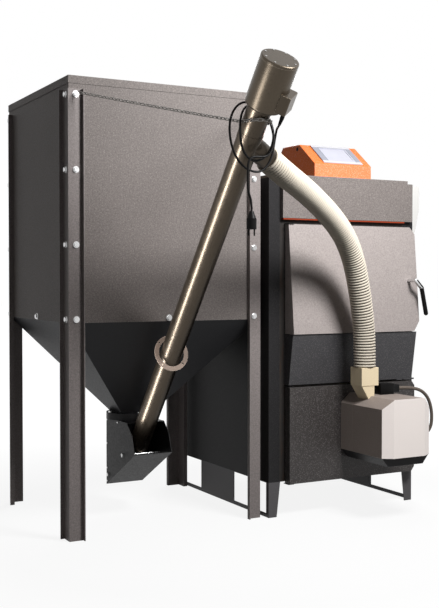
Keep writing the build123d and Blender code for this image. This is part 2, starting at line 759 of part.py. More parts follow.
def auger_ring():
    """Loose ring that has slid down the tube until it jammed across it."""
    outer = RING_HOLE ** 2 + (RING_THICKNESS / 2) ** 2
    lean = math.acos((TUBE_RADIUS + RING_SEAT_GAP) / math.sqrt(outer))
    lean -= math.atan2(RING_THICKNESS / 2, RING_HOLE)
    station = (RING_HEIGHT - AUGER_FOOT_Z) / math.sin(TILT)
    ring = drum(RING_RADIUS, -RING_THICKNESS / 2, RING_THICKNESS / 2)
    ring -= drum(RING_HOLE, -RING_THICKNESS, RING_THICKNESS)
    for turn in range(4):
        radius = (RING_RADIUS + RING_HOLE) / 2
        ring -= Rot(0, 0, 45 + 90 * turn) * Pos(radius, 0) * drum(3, -RING_THICKNESS, RING_THICKNESS)
    return AUGER * Pos(0, 0, station) * Rot(math.degrees(lean), 0, 0) * ring


# Support chain


def chain_link():
    """One welded link, long along X, its wire round the Z axis."""
    middle = (CHAIN_INNER_WIDTH / 2) + CHAIN_WIRE
    reach = (CHAIN_INNER_LENGTH - CHAIN_INNER_WIDTH) / 2
    link = rod((-reach, middle, 0), (reach, middle, 0), CHAIN_WIRE)
    link += rod((-reach, -middle, 0), (reach, -middle, 0), CHAIN_WIRE)
    section = Plane.XZ * Pos(middle, 0) * Circle(CHAIN_WIRE)
    bow = revolve(section, Axis.Z, revolution_arc=180)
    link += Pos(reach, 0, 0) * Rot(0, 0, -90) * bow
    link += Pos(-reach, 0, 0) * Rot(0, 0, 90) * bow
    return link


def chain_route():
    """Middle points of the chain's links, from bolt to bolt round the neck."""
    neck = AUGER.from_local_coords(Vector(0, 0, HOUSING_BASE - CHAIN_BELOW))
    reach = TUBE_RADIUS + CHAIN_INNER_WIDTH / 2 + 3 * CHAIN_WIRE + GAP
    top = BOLT_FIRST_ROW + (BOLT_ROWS - 1) * BOLT_PITCH
    ahead = WASHER_THICKNESS + BOLT_HEAD_HEIGHT + 2 * CHAIN_INNER_WIDTH
    low = Vector(BOLT_INSET_FRONT + 2 * CHAIN_WIRE, -ahead, top + 2 * CHAIN_WIRE)
    half = []
    turns = 6
    for step in range(turns + 1):
        turn = math.radians(-90 - 90 * step / turns)
        across = reach * math.cos(turn)
        half.append(Vector(neck.X + across, neck.Y + reach * math.sin(turn) / math.sin(TILT), neck.Z))
    leg_start = half[-1]
    steps = 24
    for step in range(1, steps + 1):
        share = step / steps
        point = leg_start + (low - leg_start) * share
        half.append(point - Vector(0, 0, 4 * CHAIN_SAG * share * (1 - share)))
    mirrored = [Vector(2 * MID_X - point.X, point.Y, point.Z) for point in half]
    return mirrored[:0:-1] + half


def even_places(points, pitch):
    """Places at an even pitch along a run of points, each with its direction."""
    places = []
    carried = pitch / 2
    for start, end in zip(points, points[1:]):
        run = end - start
        while carried <= run.length:
            places.append((start + run.normalized() * carried, run.normalized()))
            carried += pitch
        carried -= run.length
    return places


def support_chain():
    """Links turned a quarter from one to the next."""
    link = chain_link()
    pitch = CHAIN_INNER_LENGTH - GAP
    links = []
    for number, (place, along) in enumerate(even_places(chain_route(), pitch)):
        side = Vector(0, 0, 1).cross(along).normalized()
        frame = Plane(origin=place, x_dir=along, z_dir=along.cross(side))
        links.append(frame * Rot(45 + 90 * (number % 2), 0, 0) * link)
    return group(links)


# Mains cord


def print_radii(name, points, share=0.45):
    """Radii of a route's corners, each as large as its two runs allow."""
    points = [Vector(*point) for point in points]
    radii = []
    for before, corner, after in zip(points, points[1:], points[2:]):
        turn = (corner - before).get_angle(after - corner)
        shorter = min((corner - before).length, (after - corner).length)
        radii.append(share * shorter / math.tan(math.radians(turn) / 2))
    print(name, "radii", [round(radius) for radius in radii])
    return radii


def corded(name, points, radius):
    """Tube along straight runs joined by tangent arcs."""
    radii = print_radii(name, points)
    path = FilletPolyline(*[tuple(Vector(*point)) for point in points], radius=radii)
    start = Plane(origin=path @ 0, z_dir=path % 0)
    tube = sweep(start * Circle(radius), path=path)
    print(name, "volume share", round(tube.volume / (math.pi * radius ** 2 * path.length), 4))
    return tube


def arc_pair(start, way_in, end, way_out):
    """Two tangent arcs from one point and direction to another."""
    span = end - start
    ways = way_in + way_out
    spread = 2 * (1 - way_in.dot(way_out))
    reach = span.dot(ways)
    size = (-reach + math.sqrt(reach * reach + spread * span.dot(span))) / spread
    joint = (start + end + (way_in - way_out) * size) * 0.5
    turned = (joint - start - way_in * size).normalized()
    return [TangentArc(start, joint, tangent=way_in), TangentArc(joint, end, tangent=turned)]


def coil_edges():
    """Arcs of the loops that hang round the neck, a quarter turn at a time."""
    quarter = [Vector(0, 0, -1), Vector(-1, 0, 0), Vector(0, 0, 1), Vector(1, 0, 0)]
    ways = [quarter[number % 4] for number in range(len(COIL))]
    ways[0] = Vector(*COIL_START_WAY).normalized()
    edges = []
    for number, (start, end) in enumerate(zip(COIL, COIL[1:])):
        edges += arc_pair(start, ways[number], end, ways[number + 1])
    return edges


def power_cord_coil():
    edges = coil_edges()
    path = Wire([edge.edge() for edge in edges])
    start = Plane(origin=COIL[0], z_dir=COIL_START_WAY)
    coil = sweep(start * Circle(CORD_RADIUS), path=path)
    print_coil_gap(edges)
    print("coil length", round(path.length), "volume share",
          round(coil.volume / (math.pi * CORD_RADIUS ** 2 * path.length), 4))
    return coil


def print_coil_gap(edges):
    """Least gap of the coil to itself, measured on points along it."""
    points = []
    travelled = 0
    for edge in edges:
        steps = 24
        for step in range(steps):
            points.append((travelled + edge.length * step / steps, edge @ (step / steps)))
        travelled += edge.length
    least = BIG
    for number, (place, point) in enumerate(points):
        for other_place, other in points[number + 1:]:
            if other_place - place > 12 * CORD_RADIUS:
                least = min(least, (other - point).length)
    print("coil least gap", round(least - 2 * CORD_RADIUS, 2))


def power_cord():
    """The cord from the gland to the loops, and from the loops to the plug."""
    gland = gland_axis()
    start = COIL[0]
    lead = [gland.origin, gland.origin + gland.z_dir * CORD_FIRST_RUN]
    lead += [start - Vector(*COIL_START_WAY).normalized() * CORD_LAST_RUN, start]
    lead = [tuple(point) for point in lead]
    tail = [tuple(point) for point in [COIL[-1]] + TAIL + [PLUG]]
    return group([corded("lead", lead, CORD_RADIUS), corded("tail", tail, CORD_RADIUS)])


def power_plug():
    """Moulded plug hanging on the cord, with its two pins."""
    neck = Plane.XY.offset(-PLUG_NECK) * Circle(PLUG_RADIUS - 1)
    body = loft([Plane.XY * Circle(PLUG_NECK_RADIUS), neck], ruled=True)
    body += drum(PLUG_RADIUS, -PLUG_LENGTH, -PLUG_NECK)
    pins = []
    for side in (-1, 1):
        pin = drum(PIN_RADIUS, -PLUG_LENGTH - PIN_LENGTH, -PLUG_LENGTH)
        pins.append(Pos(side * PIN_SPACING / 2, 0) * pin)
    return group([Pos(*PLUG) * piece for piece in [body] + pins])


# Feed hose


def branch_end():
    """Where the hose starts on the branch, and the branch's direction."""
    place = branch_plane()
    tip = AUGER.from_local_coords(place.origin + place.z_dir * BRANCH_REACH)
    root = AUGER.from_local_coords(place.origin)
    return tip, (tip - root).normalized()


def hose_points():
    """Centre line of the hose from the branch down to the adapter."""
    tip, way = branch_end()
    x, y = (sum(limits) / 2 for limits in (ADAPTER_X, ADAPTER_Y))
    end = Vector(BOILER_X + x, y, ADAPTER_Z[1])
    span = end - tip
    points = [tip, tip + way * HOSE_FIRST_RUN]
    points += [tip + Vector(span.X * x, span.Y * y, span.Z * z) for x, y, z in HOSE_SHARES]
    points += [end + Vector(0, 0, HOSE_LAST_RUN), end]
    return [tuple(point) for point in points]


def hose_path():
    points = hose_points()
    return FilletPolyline(*points, radius=print_radii("hose", points))


def feed_hose():
    """Ribbed hose with its bore."""
    path = hose_path()
    length = path.length
    ribs = round(length / HOSE_RIB_PITCH)
    _, first, *_, last, _ = hose_points()
    across = (last[0] - first[0], last[1] - first[1])
    steady = Vector(across[1], -across[0], 0).normalized()
    circles = []
    for rib in range(ribs):
        for share, radius in ((0, HOSE_ROOT_RADIUS), (0.3, HOSE_RADIUS),
                              (0.6, HOSE_RADIUS), (0.9, HOSE_ROOT_RADIUS)):
            circles.append(hose_section(path, (rib + share) / ribs, radius, steady))
    circles.append(hose_section(path, 1, HOSE_ROOT_RADIUS, steady))
    outer = loft(circles, ruled=True)
    bore = sweep(hose_section(path, 0, HOSE_BORE / 2, steady), path=path)
    print("hose length", round(length), "ribs", ribs)
    return outer - bore


def hose_section(path, share, radius, steady):
    return Plane(origin=path @ share, x_dir=steady, z_dir=path % share) * Circle(radius)


# Boiler body


def casing_side(outer, way):
    """Side panel with its folded front strip. The way is 1 where the boiler lies to its right."""
    z = (BODY_BOTTOM, BODY_TOP)
    side = block(sorted((outer, outer + way * SHEET)), (BODY_FRONT, BODY_REAR), z)
    strip = block(sorted((outer, outer + way * FLANGE_STRIP)), (BODY_FRONT, BODY_FRONT + SHEET), z)
    return side + strip


def boiler_casing():
    """Painted jacket of three panels: two sides with their front strips, and the rear wall."""
    rear = block(inset((BODY_LEFT, BODY_RIGHT), SHEET), (BODY_REAR - SHEET, BODY_REAR), (BODY_BOTTOM, BODY_TOP))
    flue = Plane(origin=(MIDDLE_X_CHAMBER, BODY_REAR + 1, FLUE_HEIGHT), z_dir=(0, -1, 0))
    rear -= flue * drum(FLUE_RADIUS + 1, 0, 2 * SHEET)
    for x_socket, z_socket in socket_places():
        face = Plane(origin=(x_socket, BODY_REAR + 1, z_socket), z_dir=(0, -1, 0))
        rear -= face * drum(SOCKET_RADIUS + 1, 0, 2 * SHEET)
    right = casing_side(BODY_RIGHT, -1) + latch_keeper(UPPER_HANDLE_Z) + latch_keeper(LOWER_HANDLE_Z)
    return group([casing_side(BODY_LEFT, 1), right, rear])


def socket_places():
    x = MIDDLE_X_CHAMBER - SOCKET_OFFSET
    return [(x, FLOW_HEIGHT), (x, RETURN_HEIGHT)]


def vessel_limits():
    x = (BODY_LEFT + FLANGE_STRIP + GAP, BODY_RIGHT - FLANGE_STRIP - GAP)
    return x, (BODY_FRONT, BODY_REAR - WOOL), (BODY_BOTTOM, BODY_TOP - SHEET)


def holed_plates(x, y, z, hole_x, hole_y):
    """Level plate of three strips round a square hole that reaches its rear edge."""
    return [
        block(x, (y[0], hole_y[0]), z),
        block((x[0], hole_x[0]), hole_y, z),
        block((hole_x[1], x[1]), hole_y, z),
    ]


def outer_plates():
    """Outer steel plates of the vessel, its front left open at both chambers."""
    x, y, z = vessel_limits()
    inner_x = inset(x, VESSEL_STEEL)
    inner_z = inset(z, VESSEL_STEEL)
    front = (y[0], y[0] + VESSEL_STEEL)
    across = (CHAMBER_LEFT, CHAMBER_RIGHT)
    return [
        block(x, y, (z[0], inner_z[0])),
        block(x, y, (inner_z[1], z[1])),
        block((x[0], inner_x[0]), y, inner_z),
        block((inner_x[1], x[1]), y, inner_z),
        block((inner_x[0], CHAMBER_LEFT), front, inner_z),
        block((CHAMBER_RIGHT, inner_x[1]), front, inner_z),
        block(across, front, (inner_z[0], LOWER_CHAMBER[0])),
        block(across, front, (LOWER_CHAMBER[1], UPPER_CHAMBER[0])),
        block(across, front, (UPPER_CHAMBER[1], inner_z[1])),
    ]


def chamber_plates():
    """Walls, floors and ceilings of the two fire chambers and of the throat between them."""
    across = (CHAMBER_LEFT, CHAMBER_RIGHT)
    deep = (BODY_FRONT + VESSEL_STEEL, CHAMBER_REAR)
    hole_x = inset(across, WOOL)
    hole_y = (CHAMBER_REAR - THROAT_DEPTH, CHAMBER_REAR)
    floor = (LOWER_CHAMBER[0] - VESSEL_STEEL, LOWER_CHAMBER[0])
    ceiling = (LOWER_CHAMBER[1], LOWER_CHAMBER[1] + VESSEL_STEEL)
    upper_floor = (UPPER_CHAMBER[0] - VESSEL_STEEL, UPPER_CHAMBER[0])
    upper_ceiling = (UPPER_CHAMBER[1], UPPER_CHAMBER[1] + VESSEL_STEEL)
    between = (ceiling[1], upper_floor[0])
    plates = [block(across, deep, floor), block(across, deep, upper_ceiling)]
    plates += holed_plates(across, deep, ceiling, hole_x, hole_y)
    plates += holed_plates(across, deep, upper_floor, hole_x, hole_y)
    for side, way in ((CHAMBER_LEFT, -1), (CHAMBER_RIGHT, 1)):
        wall = sorted((side, side + way * VESSEL_STEEL))
        plates.append(block(wall, deep, (floor[0], ceiling[1])))
        plates.append(block(wall, deep, (upper_floor[0], upper_ceiling[1])))
    for side, way in ((hole_x[0], -1), (hole_x[1], 1)):
        wall = sorted((side, side + way * VESSEL_STEEL))
        plates.append(block(wall, hole_y, between))
    plates.append(block(inset(hole_x, -VESSEL_STEEL), (hole_y[0] - VESSEL_STEEL, hole_y[0]), between))
    return plates


def boiler_vessel():
    """Water vessel of welded plates round both chambers, with flue collar and water sockets."""
    x, y, z = vessel_limits()
    flue = Plane(origin=(MIDDLE_X_CHAMBER, CHAMBER_REAR, FLUE_HEIGHT), z_dir=(0, 1, 0))
    flue_end = BODY_REAR + FLUE_REACH - CHAMBER_REAR
    back_x = (CHAMBER_LEFT - VESSEL_STEEL, CHAMBER_RIGHT + VESSEL_STEEL)
    back_z = (LOWER_CHAMBER[0] - VESSEL_STEEL, UPPER_CHAMBER[1] + VESSEL_STEEL)
    back = block(back_x, (CHAMBER_REAR, CHAMBER_REAR + VESSEL_STEEL), back_z)
    rear = block(inset(x, VESSEL_STEEL), (y[1] - VESSEL_STEEL, y[1]), inset(z, VESSEL_STEEL))
    flue_hole = flue * drum(FLUE_SLEEVE_RADIUS + WELD_FIT, -1, flue_end)
    back -= flue_hole
    rear -= flue_hole
    collar = drum(FLUE_SLEEVE_RADIUS, 0, y[1] - CHAMBER_REAR) + drum(FLUE_RADIUS, 0, flue_end)
    tubes = [flue * (collar - drum(FLUE_RADIUS - FLUE_WALL, 0, flue_end))]
    for x_socket, z_socket in socket_places():
        face = Plane(origin=(x_socket, y[1] - VESSEL_STEEL, z_socket), z_dir=(0, 1, 0))
        socket_end = BODY_REAR + SOCKET_REACH - y[1] + VESSEL_STEEL
        rear -= face * drum(SOCKET_RADIUS + WELD_FIT, -1, socket_end)
        tubes.append(face * drum(SOCKET_RADIUS, 0, socket_end, SOCKET_BORE))
    return group(outer_plates() + chamber_plates() + [back, rear] + tubes)


def casing_insulation():
    """Mineral wool between casing and vessel, at both sides."""
    x, y, z = vessel_limits()
    deep = (BODY_FRONT + 2 * SHEET, BODY_REAR - SHEET)
    left = block((BODY_LEFT + SHEET, x[0]), deep, z)
    right = block((x[1], BODY_RIGHT - SHEET), deep, z)
    return group([left, right])


def exchanger_baffles():
    """Steel baffles that hang across the upper chamber, above its mouth."""
    depth = CHAMBER_REAR - THROAT_DEPTH
    plates = []
    for number in range(BAFFLES):
        y = depth * (number + 1) / (BAFFLES + 1)
        low = UPPER_CHAMBER[0] + (VESSEL_STEEL * 14 if number % 2 else 0)
        high = UPPER_CHAMBER[1] - (0 if number % 2 else VESSEL_STEEL * 14)
        plates.append(block((CHAMBER_LEFT, CHAMBER_RIGHT), (y, y + BAFFLE_STEEL), (low, high)))
    return group(plates)


def ash_pan():
    """Open tray on the floor of the lower chamber."""
    x = inset((CHAMBER_LEFT, CHAMBER_RIGHT), 4)
    y = (BODY_FRONT + 3 * SHEET, CHAMBER_REAR - WOOL)
    z = (LOWER_CHAMBER[0], LOWER_CHAMBER[0] + ASH_PAN_HEIGHT)
    return block(x, y, z) - block(inset(x, SHEET), inset(y, SHEET), (z[0] + SHEET, z[1] + 1))


def base_side(face, inner):
    """One folded side of the base: a plate with two windows, and a foot at each end."""
    z = (0, BODY_BOTTOM)
    low, high = sorted((face, inner))
    plate = block((low, high), (BODY_FRONT, BODY_REAR), z)
    for window in (WINDOW_FRONT, WINDOW_REAR):
        plate -= block((low - 1, high + 1), window, (BASE_RAIL, BODY_BOTTOM - SHEET))
    way = 1 if inner > face else -1
    foot = [(face, 0), (face + way * FOOT_BOTTOM, 0), (face + way * FOOT_TOP, BODY_BOTTOM), (face, BODY_BOTTOM)]
    for start in (BODY_FRONT, BODY_REAR - BASE_STEEL):
        plate += prism_y(foot, (start, start + BASE_STEEL))
    return plate


def boiler_base():
    left = base_side(BODY_LEFT, BODY_LEFT + BASE_STEEL)
    right = base_side(BODY_RIGHT, BODY_RIGHT - BASE_STEEL)
    return group([left, right])


# Front covers and top


def fascia():
    x = FASCIA_X
    z = (FASCIA_BOTTOM, BODY_TOP)
    body = block(x, (FASCIA_FRONT, BODY_FRONT), z)
    return body - block(inset(x, SHEET), (FASCIA_FRONT + SHEET, BODY_FRONT + 1), inset(z, SHEET))


def fascia_trim():
    """Painted strip under the fascia, its back on the body's front."""
    return block(TRIM_X, (FASCIA_FRONT + SHEET, BODY_FRONT), (FASCIA_BOTTOM - TRIM_HEIGHT, FASCIA_BOTTOM))


def top_cover():
    x = COVER_X
    y = (FASCIA_FRONT, BODY_REAR - SHEET)
    body = block(x, y, (BODY_TOP, COVER_TOP))
    return body - block(inset(x, SHEET), inset(y, SHEET), (BODY_TOP - 1, COVER_TOP - SHEET))


def door_outline(x, z, top, bottom):
    """Front outline of a door with cut right hand corners."""
    return [
        (x[0], z[0]), (x[1] - bottom[0], z[0]), (x[1], z[0] + bottom[1]),
        (x[1], z[1] - top[1]), (x[1] - top[0], z[1]), (x[0], z[1]),
    ]


def slanted(x, back, top, bottom):
    """Wedge whose front leans from (Y, Z) at the top to (Y, Z) at the bottom."""
    return prism_x([(back, bottom[1]), bottom, top, (back, top[1])], x)


def upper_door():
    """Folded door cover with a slanted front, and the pins' lugs inside its left edge."""
    back = BODY_FRONT - DOOR_GAP
    z = (UPPER_DOOR_BOTTOM, UPPER_DOOR_TOP)
    top = (UPPER_DOOR_TOP_Y, z[1])
    bottom = (UPPER_DOOR_BOTTOM_Y, z[0])
    outline = door_outline(UPPER_DOOR_X, z, CORNER_TOP, CORNER_BOTTOM)
    body = slanted(UPPER_DOOR_X, back, top, bottom) & prism_y(outline, (-BIG, BIG))
    inner = door_outline(inset(UPPER_DOOR_X, SHEET), inset(z, SHEET), CORNER_TOP, CORNER_BOTTOM)
    hollow = slanted(UPPER_DOOR_X, back, (top[0] + SHEET, z[1]), (bottom[0] + SHEET, z[0]))
    plate = block(UPPER_DOOR_X, (back - FIRE_DOOR_STEEL, back), z)
    body -= (hollow & prism_y(inner, (-BIG, BIG))) - plate
    return door_bores(body, UPPER_HANDLE_Z, upper_face(UPPER_HANDLE_Z))


def upper_face(z):
    """Y of the upper door's slanted face at a height."""
    share = (UPPER_DOOR_TOP - z) / (UPPER_DOOR_TOP - UPPER_DOOR_BOTTOM)
    return UPPER_DOOR_TOP_Y + (UPPER_DOOR_BOTTOM_Y - UPPER_DOOR_TOP_Y) * share


def door_bores(body, handle_z, face):
    """Bores for the hinge pins and the handle's shaft, and the keeper's slot."""
    body -= rod((HINGE_X, HINGE_Y, -BIG), (HINGE_X, HINGE_Y, BIG), DOOR_PIN_RADIUS + HINGE_FIT)
    shaft = SHAFT_PIN_RADIUS + HINGE_FIT
    deep = BODY_FRONT - DOOR_GAP - SHEET + GAP
    body -= rod((HANDLE_PIVOT_X, face - 1 - SHEET, handle_z), (HANDLE_PIVOT_X, deep, handle_z), shaft)
    x, _, z = keeper_limits(handle_z)
    room = SHEET + 1
    back = BODY_FRONT - DOOR_GAP
    return body - block(inset(x, -room), (back - FIRE_DOOR_STEEL - 1, back + 1), inset(z, -room))


def lower_door():
    back = BODY_FRONT - DOOR_GAP
    z = (LOWER_DOOR_BOTTOM, LOWER_DOOR_TOP)
    outline = door_outline(LOWER_DOOR_X, z, LOWER_CORNER, LOWER_CORNER)
    inner = door_outline(inset(LOWER_DOOR_X, SHEET), inset(z, SHEET), LOWER_CORNER, LOWER_CORNER)
    body = prism_y(outline, (LOWER_DOOR_Y, back))
    body -= prism_y(inner, (LOWER_DOOR_Y + SHEET, back - FIRE_DOOR_STEEL))
    body = door_bores(body, LOWER_HANDLE_Z, LOWER_DOOR_Y)
    flame = Plane(origin=(MIDDLE_X, LOWER_DOOR_Y - 1, FLAME_HEIGHT), z_dir=(0, 1, 0))
    return body - flame * drum(FLAME_RADIUS + GAP, 0, back - LOWER_DOOR_Y + 2)


def door_wool(x, z, depth_front):
    """Insulation board inside a door, clear of its edges and of the handle's shaft."""
    back = BODY_FRONT - DOOR_GAP - FIRE_DOOR_STEEL
    return block((x[0] + 2 * WOOL, x[1] - 2 * WOOL), (depth_front, back), (z[0] + SHEET, z[1] - SHEET))


def upper_door_insulation():
    top = UPPER_DOOR_TOP_Y + 2 * SHEET
    return door_wool(UPPER_DOOR_X, (UPPER_DOOR_BOTTOM, UPPER_DOOR_TOP), top)


def lower_door_insulation():
    board = door_wool(LOWER_DOOR_X, (LOWER_DOOR_BOTTOM, LOWER_DOOR_TOP), LOWER_DOOR_Y + SHEET)
    flame = Plane(origin=(MIDDLE_X, LOWER_DOOR_Y - 1, FLAME_HEIGHT), z_dir=(0, 1, 0))
    return board - flame * drum(FLAME_RADIUS + GAP, 0, BIG)


def rope_seal(chamber):
    """Square rope on the back of a door, round the mouth of its chamber."""
    x = (CHAMBER_LEFT, CHAMBER_RIGHT)
    y = (BODY_FRONT - DOOR_GAP, BODY_FRONT - GAP)
    ring = block(inset(x, -2 * SEAL), y, inset(chamber, -2 * SEAL))
    return ring - block(inset(x, -SEAL), (y[0] - 1, y[1] + 1), inset(chamber, -SEAL))


def door_hinges(z):
    """Brackets above and below a door, each with a pin into the door's edge."""
    pieces = []
    wide = (HINGE_X - DOOR_BRACKET, HINGE_X + DOOR_BRACKET)
    for edge, way in ((z[1], 1), (z[0], -1)):
        near = edge + way * GAP
        far = near + way * BRACKET_STEEL
        plate = block(wide, (HINGE_Y - DOOR_BRACKET, BODY_FRONT), sorted((near, far)))
        tip = edge - way * DOOR_BRACKET
        plate += rod((HINGE_X, HINGE_Y, tip), (HINGE_X, HINGE_Y, far), DOOR_PIN_RADIUS)
        pieces.append(plate)
    return group(pieces)


def finger_back():
    """Y of the latch finger's rear face, just ahead of the door's plate."""
    return BODY_FRONT - DOOR_GAP - FIRE_DOOR_STEEL - GAP


def keeper_limits(handle_z):
    """Limits of the hooked keeper round the tip of the latch finger."""
    x = (HANDLE_PIVOT_X + FINGER_LENGTH - 13, HANDLE_PIVOT_X + FINGER_LENGTH - 1)
    y = (finger_back() - FINGER_SIZE - 2 * GAP - KEEPER_STEEL, BODY_FRONT)
    low = handle_z - FINGER_SIZE / 2 - SHEET - KEEPER_STEEL
    return x, y, (low, handle_z + FINGER_SIZE / 2)


def latch_keeper(handle_z):
    """Keeper on the body's front strip: a shelf below the finger and a lip ahead of it."""
    x, y, z = keeper_limits(handle_z)
    shelf = block(x, y, (z[0], z[0] + KEEPER_STEEL))
    return shelf + block(x, (y[0], y[0] + KEEPER_STEEL), z)


def door_handle(handle_z, face):
    """Bent lever on its shaft, with a latch finger ahead of the door's plate."""
    pivot = (HANDLE_PIVOT_X, face - HANDLE_STANDOFF, handle_z)
    bend = (pivot[0] + LEVER_BEND[0], pivot[1], pivot[2] + LEVER_BEND[1])
    end = (pivot[0] + LEVER_END[0], pivot[1], pivot[2] + LEVER_END[1])
    lever = rod(pivot, bend, HANDLE_RADIUS) + rod(bend, end, HANDLE_RADIUS)
    for tip in (pivot, bend, end):
        lever += Pos(*tip) * Sphere(HANDLE_RADIUS)
    lever += rod(pivot, (pivot[0], BODY_FRONT - DOOR_GAP - SHEET, pivot[2]), SHAFT_PIN_RADIUS)
    back = finger_back()
    low = pivot[2] - FINGER_SIZE / 2
    finger = block((pivot[0], pivot[0] + FINGER_LENGTH), (back - FINGER_SIZE, back), (low, low + FINGER_SIZE))
    return lever + finger


def upper_door_handle():
    return door_handle(UPPER_HANDLE_Z, upper_face(UPPER_HANDLE_Z))


def lower_door_handle():
    return door_handle(LOWER_HANDLE_Z, LOWER_DOOR_Y)


def middle_panel():
    """Folded cover between the doors, its front slanted back towards the bottom."""
    top = (PANEL_TOP_Y, PANEL_TOP)
    bottom = (PANEL_BOTTOM_Y, PANEL_BOTTOM)
    body = slanted(PANEL_X, BODY_FRONT, top, bottom)
    inside = prism_x([(BODY_FRONT + 1, PANEL_BOTTOM + SHEET), (bottom[0] + SHEET, PANEL_BOTTOM + SHEET),
                      (top[0] + SHEET, PANEL_TOP - SHEET), (BODY_FRONT + 1, PANEL_TOP - SHEET)],
                     inset(PANEL_X, SHEET))
    body -= inside
    for x in GAP_TABS:
        body += block(x, (PANEL_BOTTOM_Y, PANEL_BOTTOM_Y + SHEET), (PANEL_BOTTOM - 2 * SHEET, PANEL_BOTTOM + SHEET))
    return body


# Controller


def controller_case():
    return prism_x(CONTROL_PROFILE, CONTROL_X)


def control_face():
    """Plane on the controller's slanted face, X to the right and Y up the slope."""
    low, high = CONTROL_PROFILE[1], CONTROL_PROFILE[2]
    slope = Vector(0, high[0] - low[0], high[1] - low[1])
    normal = Vector(1, 0, 0).cross(slope)
    return Plane(origin=(0, low[0], low[1]), x_dir=(1, 0, 0), z_dir=normal), slope.length


def on_slope(x, start, end, height, base=0):
    """Flat piece on the slanted face, from start to end up the slope."""
    face, _ = control_face()
    return face * block(x, (start, end), (base, base + height))


def controller_bezel():
    length = control_face()[1]
    frame = on_slope(BEZEL_X, BEZEL_ENDS[0], length - BEZEL_ENDS[1], BEZEL_HEIGHT)
    return frame - on_slope(SCREEN_X, SCREEN_ENDS[0], length - SCREEN_ENDS[1], BEZEL_HEIGHT)


def controller_screen():
    length = control_face()[1]
    low, high = inset((SCREEN_ENDS[0], length - SCREEN_ENDS[1]), GAP)
    return on_slope(inset(SCREEN_X, GAP), low, high, BEZEL_HEIGHT - SCREEN_SINK)


# Burner


def burner_profile(low, grow=0):
    """Section of the burner's cover in (X, Z), its upper corners cut."""
    left, right = BURNER_X[0] + grow, BURNER_X[1] - grow
    across, down = BURNER_TOP_CHAMFER
    top = BURNER_TOP - grow
    return [(left, low), (right, low), (right, top - down), (right - across, top),
            (left + across, top), (left, top - down)]


def burner_housing():
    """Rear part of the burner's casing, fixed on the door."""
    shell = prism_y(burner_profile(BURNER_BOTTOM), (BURNER_SEAM + GAP, LOWER_DOOR_Y))
    shell -= prism_y(burner_profile(BURNER_BOTTOM - 1, SHEET), (BURNER_SEAM, LOWER_DOOR_Y + 1))
    return shell - chute_hole()


def burner_cover():
    """Front cover with cut upright corners."""
    y = (BURNER_FRONT, BURNER_SEAM)
    across, deep = BURNER_SIDE_CHAMFER
    left, right = BURNER_X
    plan = [(left, y[1]), (left, y[0] + deep), (left + across, y[0]), (right - across, y[0]),
            (right, y[0] + deep), (right, y[1])]
    z = (BURNER_BOTTOM, BURNER_TOP)
    inner = [(left + SHEET, y[1] + 1), (left + SHEET, y[0] + deep + 1), (left + across, y[0] + SHEET),
             (right - across, y[0] + SHEET), (right - SHEET, y[0] + deep + 1), (right - SHEET, y[1] + 1)]
    body = prism_y(burner_profile(BURNER_BOTTOM), y) & prism_z(plan, z)
    hollow = prism_y(burner_profile(BURNER_BOTTOM - 1, SHEET), (y[0], y[1] + 1)) & prism_z(inner, (0, z[1]))
    return body - hollow - chute_hole()


def chute_profile(grow=0):
    """Section of the chute in (X, Z), narrowing from the adapter into the burner."""
    left = ADAPTER_X[0] + SHEET - grow
    low = BURNER_TOP - BURNER_TOP_CHAMFER[1] - grow
    right = CHUTE_NARROW + grow
    return [(left, ADAPTER_Z[0]), (right, ADAPTER_Z[0]), (right, low), (CHUTE_NARROW - CHUTE_MOUTH - grow, low)]


def chute_hole():
    """Room for the chute through the casing's top."""
    return prism_y(chute_profile(2 * GAP), inset(ADAPTER_Y, SHEET - GAP))


def burner_chassis():
    """Dark tray under the casing, with the wall that carries the fan."""
    y = (BURNER_FRONT + BURNER_SIDE_CHAMFER[1], LOWER_DOOR_Y)
    x = inset(BURNER_X, SHEET + GAP)
    low = inset(x, TRAY_TAPER)
    tray = prism_y([(low[0], TRAY_BOTTOM), (low[1], TRAY_BOTTOM), (x[1], BURNER_BOTTOM), (x[0], BURNER_BOTTOM)], y)
    low_in = inset(low, SHEET)
    x_in = inset(x, SHEET)
    tray -= prism_y([(low_in[0], TRAY_BOTTOM + SHEET), (low_in[1], TRAY_BOTTOM + SHEET),
                     (x_in[1], BURNER_BOTTOM + 1), (x_in[0], BURNER_BOTTOM + 1)], inset(y, SHEET))
    wall = FAN_Y + FAN_DEPTH + FAN_GAP
    tray += block(inset(x_in, TRAY_TAPER), (wall, wall + 2 * SHEET), (TRAY_BOTTOM, FLAME_HEIGHT + FAN_RADIUS))
    face = Plane(origin=(MIDDLE_X, wall + 2 * SHEET, FLAME_HEIGHT), z_dir=(0, -1, 0))
    return tray + face * drum(FAN_SHAFT, 0, wall - FAN_Y)


def flame_tube():
    """Burner tube from the casing through the door, with its closed end and feed duct."""
    start = BURNER_SEAM - (FLAME_RADIUS + FAN_DEPTH) + DOOR_GAP * 4
    face = Plane(origin=(MIDDLE_X, start, FLAME_HEIGHT), z_dir=(0, 1, 0))
    length = FLAME_REACH + BODY_FRONT - start
    x = (CHUTE_NARROW - CHUTE_MOUTH - SHEET, CHUTE_NARROW + 3 * SHEET)
    y = inset(ADAPTER_Y, 2 * SHEET)
    top = BURNER_TOP - BURNER_TOP_CHAMFER[1] - GAP
    body = face * drum(FLAME_RADIUS, 0, length)
    body += block(x, y, (FLAME_HEIGHT, top))
    body -= block(inset(x, SHEET), inset(y, SHEET), (FLAME_HEIGHT + FLAME_RADIUS / 3, top + 1))
    return body - face * drum(FLAME_RADIUS - 2 * SHEET, 2 * SHEET, length + 1)


